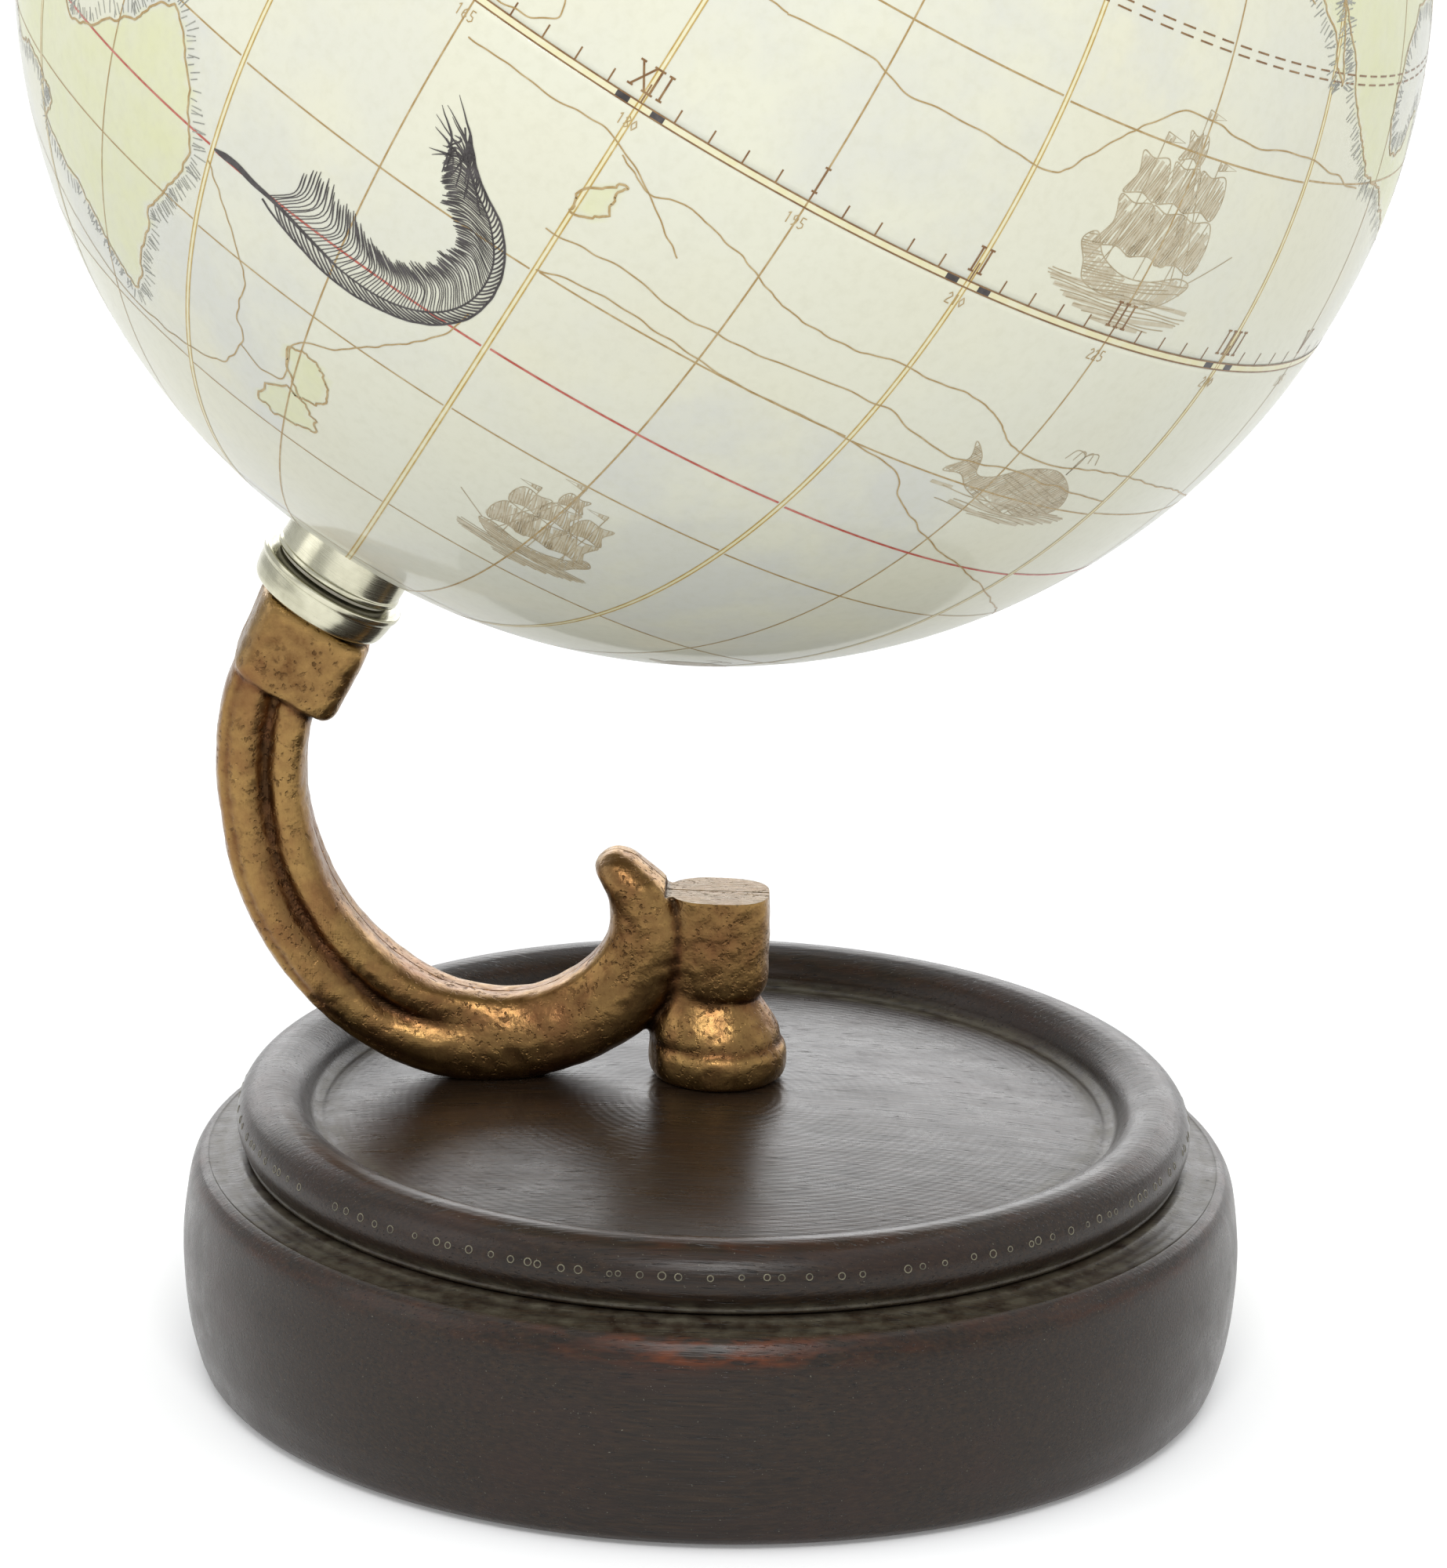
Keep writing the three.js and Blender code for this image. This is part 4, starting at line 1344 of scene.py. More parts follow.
@dataclass
class Ball:
    """Hollow ball in two halves, covered in printed gores.

    Places on the map are (latitude, longitude) in degrees, with longitude counted east from the meridian
    of hour XII.
    """

    layout: Layout
    skin: float = 0.18  # the smooth ball's skin lies this far inside the frame's faceted box
    wall: float = 2.0
    steps: int = 320
    rows: int = 100
    twelve: float = -5.1  # longitude of hour XII from the side that faces -Y
    twelve_east: float = 187.0  # its longitude east on a real map
    parallel: float = 16.2
    tropic: float = 24.8

    @property
    def radius(self) -> float:
        """Radius of the printed surface."""
        return self.layout.ball_radius - self.skin

    def outward(self, places: np.ndarray) -> np.ndarray:
        """Unit vectors in the axle's frame towards places on the map.

        Args:
            places: Rows of latitude and longitude.

        Returns:
            x = cos(lat) sin(lon), y = -cos(lat) cos(lon), z = sin(lat), with longitude from -Y.
        """
        north, east = np.radians(places[:, 0]), np.radians(places[:, 1] + self.twelve)
        return np.stack([np.cos(north) * np.sin(east), -np.cos(north) * np.cos(east), np.sin(north)], axis=1)

    def to_frame(self, points: np.ndarray) -> np.ndarray:
        """Points of the axle's frame in the object's frame."""
        turn = np.array(self.layout.axle_frame)
        return points @ turn[:3, :3].T + turn[:3, 3]

    def shell(self, name: str, hole: float, side: int, lands: list[np.ndarray]) -> bpy.types.Object:
        """Half of the ball, as a profile of two arcs turned about the axle.

        Args:
            name: Name of the piece.
            hole: Radius of the hole at its pole.
            side: 1 for the north half, -1 for the south half.
            lands: Outlines of land, for the painted wash.

        Returns:
            The piece.
        """
        inside = self.radius - self.wall
        outer = arc((0, 0), self.radius, 0.02, math.degrees(math.acos(hole / self.radius)), self.rows)
        inner = arc((0, 0), inside, math.degrees(math.acos(hole / inside)), 0.02, 24)
        profile = np.vstack([outer, inner, outer[:1]])
        if side < 0:
            profile = (profile * np.array([1, -1]))[::-1]
        north = np.degrees(np.arcsin(profile[:, 1] / np.linalg.norm(profile, axis=1)))
        east = np.degrees(np.linspace(0, 2 * np.pi, self.steps, endpoint=False)) + 90.0 - self.twelve
        grid = np.stack(np.meshgrid(north, east, indexing="ij"), axis=-1).reshape(-1, 2)
        wash = np.zeros(len(grid))
        for land in lands:
            wash = np.maximum(wash, inside_outline(grid, land))
        wash = wash.reshape(len(north), -1)
        return lathe(name, profile, self.steps, self.layout.axle_frame, {"land": wash})

    def ribbons(self, name: str, lines: list[np.ndarray], width: float | list,
                lift: float = 0.03) -> bpy.types.Object:
        """Lay ink lines on the ball.

        Each line is a strip of two edges, half a width to each side of the line's great-circle
        direction, and lifted a little off the paper.

        Args:
            name: Name of the piece.
            lines: Places along each line.
            width: Width in mm, or one array of widths for each line.
            lift: Height above the paper in mm.

        Returns:
            The piece.
        """
        points, faces, count = [], [], 0
        for i, line in enumerate(lines):
            out = self.outward(line)
            ahead = np.gradient(out, axis=0)
            side = np.cross(ahead, out)
            side /= np.linalg.norm(side, axis=1, keepdims=True).clip(1e-9)
            wide = width[i] if isinstance(width, list) else np.full(len(line), float(width))
            reach = side * (wide / 2 / self.radius)[:, None]
            strip = np.stack([out - reach, out + reach], axis=1)
            strip /= np.linalg.norm(strip, axis=2, keepdims=True)
            points.append(strip.reshape(-1, 3) * (self.radius + lift))
            faces.append(grid_faces(len(line), 2, False) + count)
            count += 2 * len(line)
        return make_piece(name, self.to_frame(np.vstack(points)), np.vstack(faces))

    def gore_slip(self, east: np.ndarray) -> np.ndarray:
        """How far each gore was pasted too high or low, in degrees, by longitude."""
        slip = np.random.default_rng(4).uniform(-0.22, 0.22, 12)
        return slip[np.floor(np.asarray(east) / 30.0).astype(int) % 12]

    def parallel_lines(self, north: float) -> list[np.ndarray]:
        """One parallel as twelve pieces, one for each gore."""
        spans = [30.0 * gore + np.linspace(0.4, 29.6, 25) for gore in range(12)]
        return [np.stack([north + self.gore_slip(span), span], axis=1) for span in spans]

    def meridian(self, east: float, low: float, high: float) -> np.ndarray:
        """One meridian between two latitudes."""
        north = np.arange(low, high + 0.01, 1.25)
        return np.stack([north, np.full_like(north, east)], axis=1)


def inside_outline(places: np.ndarray, outline: np.ndarray) -> np.ndarray:
    """Which places lie in a closed outline.

    A place is inside where a ray to the east crosses the outline an odd number of times. Longitudes are
    compared after they are brought within half a turn of the outline's middle.

    Args:
        places: Rows of latitude and longitude.
        outline: Corners of the outline.

    Returns:
        1 inside and 0 outside, for each place.
    """
    middle = (outline[:, 1].min() + outline[:, 1].max()) / 2
    v, u = places[:, 0], (places[:, 1] - middle + 180) % 360 + middle - 180
    odd = np.zeros(len(places), bool)
    for (v0, u0), (v1, u1) in zip(outline, np.roll(outline, -1, axis=0)):
        if v0 != v1:
            odd ^= ((v0 > v) != (v1 > v)) & (u < (u1 - u0) * (v - v0) / (v1 - v0) + u0)
    return odd.astype(float)


def hatched(outline: np.ndarray, spacing: float, angle: float, seed: int,
            bare: float = 0.35) -> list[np.ndarray]:
    """Fill an outline with engraver's lines.

    Parallel lines cross the outline at an angle, each is cut where it leaves the outline, and a seeded
    part of each run is left bare at its end.

    Args:
        outline: Corners in degrees, as (up, right).
        spacing: Distance between lines in degrees.
        angle: Slope of the lines in degrees.
        seed: Picks the bare ends.
        bare: Longest part of a run that is left bare.

    Returns:
        Short lines of a few points each.
    """
    rng = np.random.default_rng(seed)
    middle = outline.mean(axis=0)
    reach = np.linalg.norm(outline - middle, axis=1).max()
    way = np.array([math.sin(math.radians(angle)), math.cos(math.radians(angle))])
    off = np.array([way[1], -way[0]])
    t = np.arange(-reach, reach, spacing * 0.5)
    runs = []
    for shift in np.arange(-reach, reach, spacing):
        line = middle + off * shift + t[:, None] * way
        line += off * spacing * 0.3 * np.sin(t / spacing * 0.25 + shift / spacing)[:, None]
        mask = np.concatenate([[0], inside_outline(line, outline), [0]])
        starts, ends = np.flatnonzero(np.diff(mask) > 0), np.flatnonzero(np.diff(mask) < 0)
        for a, b in zip(starts, ends):
            trim = int((b - a) * rng.uniform(0, bare) * (rng.uniform() < 0.6))
            if b - trim - a > 2:
                runs.append(line[a:b - trim])
    return runs


def placed(line: np.ndarray, at: tuple[float, float], size: float, mirror: int = 1) -> np.ndarray:
    """Move a drawing's (up, right) line, given in its own units, to a place on the map."""
    up = at[0] + line[:, 0] * size
    return np.stack([up, at[1] + mirror * line[:, 1] * size / np.cos(np.radians(at[0]))], axis=1)


@dataclass
class MapPrint:
    """Everything printed on the ball: graticule, coasts, sea routes, engravings and figures."""

    ball: Ball
    fine: float = 0.27  # width of a thin printed line
    digit_height: float = 0.95
    numeral_height: float = 2.1
    south_end: float = -83.2  # latitudes where the gores end
    north_end: float = 85.2
    seam_edge: float = 0.18  # a gore's edge lies this many degrees from its seam
    least_coast: int = 130  # islands with fewer outline points have no strokes

    def lands(self) -> list[np.ndarray]:
        """Outlines of the lands.

        New Holland, the two south-sea islands and the small cape stand as the old map has them, and the
        other lands are simplified from common geography. Each outline is a smooth closed curve through
        rounded (latitude, real east longitude) points, then shaken by two sizes of waves to give bays and
        capes.

        Returns:
            Outlines as places on the map.
        """
        shores = {
            "north_america": [(66, 192), (71, 204), (70, 230), (68, 246), (67, 262), (61, 265), (53, 279),
                (62, 284), (60, 295), (52, 304), (47, 297), (44, 293), (41, 289), (35, 284), (31, 279),
                (25, 280), (30, 275), (29, 266), (22, 262), (18, 266), (21, 272), (15, 274), (9, 278),
                (8, 281), (10, 274), (15, 265), (17, 259), (21, 254), (28, 249), (31, 247), (24, 249),
                (29, 245), (37, 238), (48, 236), (58, 224), (60, 210), (56, 200), (60, 194)],
            "south_america": [(11, 286), (10, 296), (5, 308), (0, 310), (-4, 321), (-8, 325), (-16, 321),
                (-23, 318), (-31, 310), (-38, 303), (-45, 295), (-53, 291), (-54, 286), (-46, 285),
                (-37, 287), (-27, 289), (-18, 289), (-8, 281), (-3, 279), (3, 282)],
            "africa": [(35, -6), (37, 10), (32, 14), (31, 20), (32, 33), (22, 37), (12, 43), (11, 51),
                (2, 46), (-6, 39), (-16, 40), (-25, 35), (-34, 26), (-34, 18), (-23, 14), (-10, 13),
                (-1, 9), (4, 9), (6, 2), (4, -8), (10, -14), (15, -17), (22, -17), (29, -10)],
            "eurasia": [(36, -6), (43, -9), (44, -1), (48, -4), (53, 6), (57, 8), (54, 12), (54, 20),
                (60, 25), (65, 24), (59, 17), (56, 14), (58, 7), (63, 8), (70, 20), (70, 32), (67, 42),
                (69, 60), (73, 72), (77, 104), (72, 130), (70, 160), (66, 187), (60, 170), (52, 157),
                (60, 158), (57, 142), (45, 136), (39, 127), (35, 128), (39, 121), (35, 119), (30, 122),
                (23, 115), (20, 107), (9, 106), (13, 100), (2, 104), (8, 98), (16, 95), (22, 90), (16, 82),
                (8, 78), (16, 73), (23, 68), (25, 58), (29, 49), (24, 52), (22, 59), (13, 45), (20, 40),
                (29, 34), (34, 35), (37, 35), (37, 28), (41, 29), (41, 40), (46, 37), (45, 30), (41, 27),
                (37, 23), (42, 19), (45, 13), (40, 18), (38, 16), (44, 9), (42, 3), (37, 0)],
            "greenland": [(60, -44), (66, -37), (70, -22), (80, -18), (83, -35), (78, -68), (70, -54),
                (64, -52)],
            "new_holland": [(-17, 149), (-21, 143), (-26, 134), (-20, 131), (-15, 124), (-20, 117),
                (-27, 114), (-34, 117), (-33, 124), (-35, 130), (-38, 128), (-41, 138), (-44, 143),
                (-45, 148), (-37, 150), (-31, 153), (-26, 154)],
            "new_guinea": [(-1, 131), (-3, 141), (-8, 148), (-10, 150), (-8, 141), (-5, 134)],
            "borneo": [(1, 109), (7, 117), (1, 118), (-4, 115), (-3, 110)],
            "sumatra": [(5, 95), (1, 102), (-6, 105), (-2, 100)],
            "japan": [(31, 130), (35, 133), (37, 137), (41, 140), (44, 142), (42, 144), (36, 141),
                (34, 136)],
            "madagascar": [(-12, 49), (-18, 49), (-25, 47), (-24, 44), (-16, 45)],
            "britain": [(50, -5), (51, 1), (54, 0), (58, -2), (58, -6), (54, -4)],
            "iceland": [(64, -23), (66, -21), (66, -15), (63, -18)],
            "cuba": [(22, 276), (23, 279), (20, 285), (20, 281)],
            "north_island": [(-37, 171), (-37, 174), (-39, 176), (-41, 176), (-42, 174), (-40, 171)],
            "south_island": [(-42, 171), (-43, 175), (-45, 176), (-46, 173), (-46, 168)],
            "small_cape": [(-10, 187), (-8, 187), (-6, 189.5), (-7, 189.5), (-9, 189)],
        }
        large = {"north_america", "south_america", "africa", "eurasia", "greenland", "new_holland"}
        outlines = []
        for i, (name, points) in enumerate(shores.items()):
            small = name not in large
            curve = through(points, len(points) * (12 if small else 22), True)
            shake, wave = (0.34, 0.4) if small else (0.42, 1.0)
            up = ripple(curve, 5.0 * wave, 40 + i) + 0.6 * ripple(curve, 1.8 * wave, 80 + i)
            curve[:, 0] += shake * up
            right = ripple(curve, 4.0 * wave, 60 + i) + 0.6 * ripple(curve, 1.6 * wave, 90 + i)
            curve[:, 1] += shake * right
            outlines.append(curve - np.array([0, self.ball.twelve_east]))
        return outlines

    def routes(self) -> list[np.ndarray]:
        """Tracks of old voyages as thin wandering lines.

        Returns:
            The lines.
        """
        courses = [
            [(-3, -14), (-3, -7), (-3, -1), (-5, 3.5), (-9, 9)],
            [(-4, 1), (-5.6, 4.5), (-4.8, 7), (-6.2, 13), (-8.4, 19), (-8.7, 25), (-8.2, 30), (-8.8, 39),
             (-11, 43), (-12, 48), (-11.5, 57), (-13, 70), (-17, 88)],
            [(-16, 0), (-15, 4), (-15, 8), (-15.5, 14), (-16, 20), (-16, 28), (-17.2, 35.6), (-20, 39),
             (-23.5, 47), (-25.3, 53.5), (-33, 75), (-41, 92)],
            [(-12.5, -1), (-12, 6), (-13, 12), (-12.6, 20), (-12.2, 30), (-14, 38), (-13.6, 46), (-14.5, 60)],
            [(12, 6), (12.4, 13), (11.2, 17.5), (11.3, 23.5), (10.6, 31), (11.5, 33), (14.7, 35.7), (19, 42),
             (18, 51), (18.2, 58), (16, 70)],
            [(12, 6), (13, -4), (11, -16), (14, -30), (13, -44), (12, -56)],
            [(-41, -22), (-42, -19), (-41, -16), (-36.6, -16), (-33.3, -11), (-26.4, -4), (-22.7, -2.6)],
            [(-26, -30), (-30, -26), (-34, -23), (-38, -23), (-41, -22), (-46, -27), (-47, -45), (-40, -75),
             (-36, -100), (-34, -130), (-37, -165)],
            [(-37, -165), (-20, -195), (0, -215), (20, -208), (34, -200), (44, -193)],
            [(8, -5), (5, -9), (2, -9), (0.8, -14), (3, -20), (2, -28)],
            [(6, -22), (9, -20), (8.5, -15), (12, -13), (17, -16)],
            [(33, -45), (38, -20), (40, 10), (36, 40), (30, 55)],
            [(40, -205), (36, -235), (30, -255), (24, -262)],
        ]
        return [self.shaken(through(c, 26 * len(c)), 0.16, 30 + i) for i, c in enumerate(courses)]

    def shaken(self, line: np.ndarray, amount: float, seed: int) -> np.ndarray:
        """A line drawn by an unsteady hand, amount degrees off its way."""
        return line + amount * np.stack([ripple(line, 3.0, seed), ripple(line, 2.4, seed + 500)], axis=1)

    def combs(self, lands: list[np.ndarray]) -> list[np.ndarray]:
        """Short strokes that stand out to sea along the coasts.

        A stroke starts at a coast point and follows the coast's outward normal for a seeded length.

        Args:
            lands: Outlines of land.

        Returns:
            Lines of three points.
        """
        rng = np.random.default_rng(17)
        lines = []
        for land in lands:
            if len(land) < self.least_coast:
                continue
            slope = np.roll(land, -1, axis=0) - np.roll(land, 1, axis=0)
            squash = np.cos(np.radians(land[:, 0]))
            normal = np.stack([-slope[:, 1] * squash, slope[:, 0]], axis=1)
            normal /= np.linalg.norm(normal, axis=1, keepdims=True).clip(1e-9)
            turn = (np.roll(land[:, 1], -1) * land[:, 0] - land[:, 1] * np.roll(land[:, 0], -1)).sum()
            normal *= 1 if turn < 0 else -1
            normal[:, 1] /= squash
            t = np.linspace(0.25, 1, 3)[None, :, None]
            reach = rng.uniform(0.9, 2.0, (len(land), 1, 1))
            lines += list(land[:, None] + normal[:, None] * reach * t)
        return lines

    def quill(self) -> tuple[list[np.ndarray], list[np.ndarray]]:
        """A curled quill pen.

        A rib runs a fifth of the way in from the feather's outer edge. Short slanted barbs fill the strip
        outside it. Inside, thin curved barbs lean towards the tip and end on a ragged edge with a thick
        stroke, and the far end splits into long strands.

        Returns:
            The lines and the width along each.
        """
        rng = np.random.default_rng(6)
        count = 420
        outer = through([
            (-24.9, -25.0), (-26.6, -20.5), (-27.8, -14), (-27.2, -8.4), (-25.2, -4.2), (-22, -2.0),
            (-18, -2.0), (-14.6, -3.9), (-12.4, -7), (-10.4, -9), (-7.4, -11.3)], count)
        inner = through([
            (-24.0, -24.4), (-20.0, -19.6), (-21.0, -15.5), (-22.4, -12.2), (-21.8, -9.4), (-20.0, -7.5),
            (-17.6, -6.9), (-15.6, -9.0), (-14.0, -10.2), (-12.0, -10.9), (-8.2, -12.4)], count)
        rib = outer + 0.2 * (inner - outer)
        stem = through([(-24.7, -29.8), (-24.5, -27.2), (-24.8, -24.9), rib[30], rib[80]], 40)
        lines = [stem, self.shaken(outer[14:390], 0.05, 3), rib[20:400]]
        widths = [np.interp(np.linspace(0, 1, 40), [0, 0.12, 0.45, 1], [0.35, 1.15, 0.95, 0.4]),
                  np.full(376, 0.34), np.full(380, 0.26)]
        ragged = 0.93 + 0.1 * ripple(np.arange(count)[:, None], 34.0, 8)
        for i in range(16, 372, 3):
            j = i + 16
            end = rib[j] + (inner[j] - rib[j]) * (ragged[j] + rng.uniform(-0.07, 0.07))
            bend = (rib[i] + end) / 2 + (rib[i + 20] - rib[i]) * 0.5
            tip = rng.uniform(0.2, 0.36)
            lines.append(self.shaken(through([rib[i], bend, end], 11), 0.04, i))
            widths.append(np.interp(np.linspace(0, 1, 11), [0, 0.5, 0.86, 1], [0.13, 0.14, tip, 0.1]))
        for i in range(24, 384, 5):
            barb = through([rib[i], (rib[i] + outer[i + 12]) / 2, outer[i + 15]], 6)
            lines.append(self.shaken(barb, 0.04, i))
            widths.append(np.linspace(0.2, 0.3, 6))
        for k in range(13):
            start = rib[300 + 7 * k] + (inner[300 + 7 * k] - rib[300 + 7 * k]) * rng.uniform(0.0, 1.0)
            end = np.array([-6.6 - 1.5 * abs(k % 5 - 2) - 0.3 * k, -13.0 + 0.42 * (k % 7)])
            bend = (start + end) / 2 + np.array([0.5, 0.7])
            lines.append(self.shaken(through([start, bend, end], 16), 0.06, 900 + k))
            widths.append(np.interp(np.linspace(0, 1, 16), [0, 0.6, 1], [0.16, 0.34, 0.06]))
        return lines, widths

    def ship(self, at: tuple[float, float], size: float, mirror: int, seed: int) -> tuple[list, list]:
        """A small engraved sailing ship: hatched hull, three masts, bellied sails, pennants and water.

        Args:
            at: Place of its waterline's middle.
            size: Degrees for one unit of the drawing, which is about one unit long.
            mirror: 1 to sail east, -1 to sail west.
            seed: Picks the strokes' bare ends.

        Returns:
            Its fine lines, and the wide strokes of its wash.
        """
        hull = through([
            (0.17, -0.5), (0.06, -0.42), (-0.06, -0.34), (-0.1, -0.1), (-0.1, 0.18), (-0.03, 0.34),
            (0.1, 0.46), (0.13, 0.34), (0.06, 0.12), (0.05, -0.1), (0.12, -0.3), (0.24, -0.42)], 90, True)
        sea = through([(-0.06, -0.62), (-0.02, -0.3), (-0.05, 0.1), (-0.03, 0.5), (-0.1, 0.6), (-0.22, 0.4),
                       (-0.27, 0.05), (-0.2, -0.35)], 90, True)
        shapes = [hull]
        lines = [np.linspace((0.12, 0.44), (0.34, 0.72), 8)]
        for foot, top, x in ((0.06, 0.92, -0.27), (0.05, 1.12, 0.0), (0.06, 0.86, 0.24)):
            lines.append(np.linspace((foot, x), (top, x + 0.03), 20))
            shapes.append(np.array([(top, x + 0.03), (top - 0.03, x + 0.19), (top - 0.06, x + 0.03)]))
            for low, high, wide in ((0.17, 0.49, 0.15), (0.51, 0.77, 0.12), (0.79, 0.97, 0.085)):
                if high < top:
                    shapes.append(through([
                        (low, x - wide), (low + 0.03, x + 0.02), (low, x + wide * 1.15),
                        ((low + high) / 2, x + wide * 1.4), (high, x + wide), (high - 0.02, x),
                        (high, x - wide * 0.8), ((low + high) / 2, x - wide * 0.55)], 60, True))
        wash = hatched(sea, 0.05, 3, seed + 3, 0.6)
        for i, shape in enumerate(shapes):
            lines.append(np.vstack([shape, shape[:1]]))
            lines += hatched(shape, 0.02, 74 if i else 8, seed + 5 + i, 0.75)
            wash += hatched(shape, 0.035, 68, seed + 40 + i, 0.3)
        lines += hatched(sea, 0.024, 2, seed + 90, 0.9)
        lines += [np.linspace((0.98, 0.03), (0.08, x), 12) for x in (-0.4, -0.3, 0.3, 0.4)]
        return tuple([placed(line, at, size, mirror) for line in part] for part in (lines, wash))

    def whale(self, at: tuple[float, float], size: float, mirror: int, seed: int) -> tuple[list, list]:
        """A small engraved whale with its tail up, blowing over hatched water.

        Args:
            at: Place of its waterline's middle.
            size: Degrees for one unit of the drawing.
            mirror: 1 to swim west, -1 to swim east.
            seed: Picks the strokes' bare ends.

        Returns:
            Its fine lines, and the wide strokes of its wash.
        """
        body = through([(0.02, -0.5), (0.18, -0.44), (0.31, -0.2), (0.27, 0.05), (0.14, 0.25), (0.13, 0.38),
                        (0.26, 0.45), (0.35, 0.57), (0.22, 0.52), (0.08, 0.62), (0.09, 0.48), (-0.01, 0.33),
                        (-0.1, 0.0), (-0.09, -0.3)], 120, True)
        sea = through([(-0.04, -0.66), (-0.02, -0.2), (-0.04, 0.2), (-0.02, 0.6), (-0.1, 0.66), (-0.17, 0.3),
                       (-0.2, -0.1), (-0.13, -0.5)], 90, True)
        lines = [np.vstack([body, body[:1]]), through([(0.06, -0.47), (0.07, -0.38), (0.11, -0.3)], 12)]
        lines += hatched(body, 0.018, -62, seed, 0.5) + hatched(body, 0.03, 14, seed + 1, 0.9)
        lines += hatched(sea, 0.022, 2, seed + 2, 0.9)
        lines += [through([(0.3, -0.28), (0.46, -0.3), (0.5, -0.3 + s), (0.42, -0.3 + 1.5 * s)], 18)
                  for s in (-0.1, -0.05, 0.05, 0.1)]
        wash = hatched(body, 0.03, -50, seed + 4, 0.15) + hatched(sea, 0.05, 3, seed + 5, 0.6)
        return tuple([placed(line, at, size, mirror) for line in part] for part in (lines, wash))

    def compass(self, at: tuple[float, float], size: float) -> list[np.ndarray]:
        """A compass rose: three rings, sixteen points, half of them hatched, and long rhumb lines.

        Args:
            at: Place of its middle.
            size: Degrees for one unit of the drawing, the length of its longest point.

        Returns:
            Its lines.
        """
        turn = np.linspace(0, 2 * np.pi, 90)
        lines = [r * np.stack([np.sin(turn), np.cos(turn)], axis=1) for r in (0.3, 0.34, 0.62)]
        for i in range(16):
            a = np.pi / 8 * i
            reach = (1.0, 0.5, 0.72, 0.5)[i % 4]
            tip = reach * np.array([math.sin(a), math.cos(a)])
            for s in (-1, 1):
                b = a + s * np.pi / 16
                root = 0.2 * np.array([math.sin(b), math.cos(b)])
                lines.append(np.linspace(tip, root, 8))
            lines.append(np.linspace(tip, (0, 0), 8))
            shade = np.array([tip, root, (0, 0)])
            lines += hatched(shade, 0.03, math.degrees(a) + 90, 40 + i) if i % 2 == 0 else []
            lines.append(np.linspace(tip * 1.06, tip / reach * 2.6, 30))
        return [placed(line, at, size) for line in lines]

    def numerals(self) -> list[np.ndarray]:
        """Roman hour numerals above the equator, one for each fifteen degrees, as on a dial.

        Returns:
            The lines.
        """
        marks = ["XII", "I", "II", "III", "IIII", "V", "VI", "VII", "VIII", "IX", "X", "XI"]
        strokes = {"I": [[(0, 0.2), (1, 0.2)]], "V": [[(1, 0), (0, 0.3), (1, 0.6)]],
                   "X": [[(1, 0), (0, 0.6)], [(0, 0), (1, 0.6)]]}
        wide = {"I": 0.4, "V": 0.62, "X": 0.62}
        lines = []
        for hour in range(24):
            mark = marks[hour % 12]
            drawn = []
            start = -sum(wide[c] for c in mark) / 2
            for c in mark:
                for stroke in strokes[c]:
                    s = np.array(stroke, float) + np.array([0, start])
                    drawn.append(filled(s, 0.2))
                    drawn += [np.array([(v, u - 0.12), (v, u + 0.12)]) for v, u in s if v in (0.0, 1.0)]
                start += wide[c]
            lines += [line * self.numeral_height + np.array([1.15, hour * 15.0]) for line in drawn]
        return lines

    def figures(self) -> list[np.ndarray]:
        """Small degree figures below the equator, each drawn as one or two pen strokes.

        Returns:
            The lines.
        """
        pen = {
            "0": [[(0.5, 0), (0.95, 0.22), (0.5, 0.45), (0.05, 0.22), (0.5, 0)]],
            "1": [[(0.8, 0.05), (1, 0.22), (0, 0.22)]],
            "2": [[(0.78, 0.02), (1, 0.22), (0.72, 0.42), (0.3, 0.12), (0, 0), (0, 0.45)]],
            "3": [[(0.9, 0.03), (0.98, 0.28), (0.72, 0.36), (0.5, 0.16), (0.28, 0.4), (0.02, 0.22),
                   (0.1, 0)]],
            "4": [[(0, 0.33), (1, 0.33), (0.3, 0), (0.3, 0.45)]],
            "5": [[(1, 0.42), (1, 0.08), (0.55, 0.08), (0.5, 0.36), (0.2, 0.42), (0, 0.2), (0.08, 0)]],
            "6": [[(1, 0.36), (0.6, 0.06), (0.2, 0.04), (0, 0.24), (0.25, 0.42), (0.5, 0.24), (0.35, 0.04)]],
            "7": [[(1, 0), (1, 0.45), (0, 0.14)]],
            "8": [[(0.5, 0.22), (0.78, 0.02), (1, 0.22), (0.78, 0.42), (0.22, 0.03), (0, 0.22), (0.22, 0.42),
                   (0.5, 0.22)]],
            "9": [[(0.6, 0.4), (0.5, 0.1), (0.8, 0.03), (1, 0.25), (0.7, 0.42), (0.3, 0.38), (0, 0.1)]],
        }
        lines = []
        for mark in range(24):
            text = str((180 + 15 * mark) % 360)
            for i, c in enumerate(text):
                across = (i - len(text) / 2) * 0.62 * self.digit_height
                at = np.array([-1.05 - self.digit_height, mark * 15.0 + across])
                lines += [filled(np.array(s) * self.digit_height + at, 0.2) for s in pen[c]]
        return lines

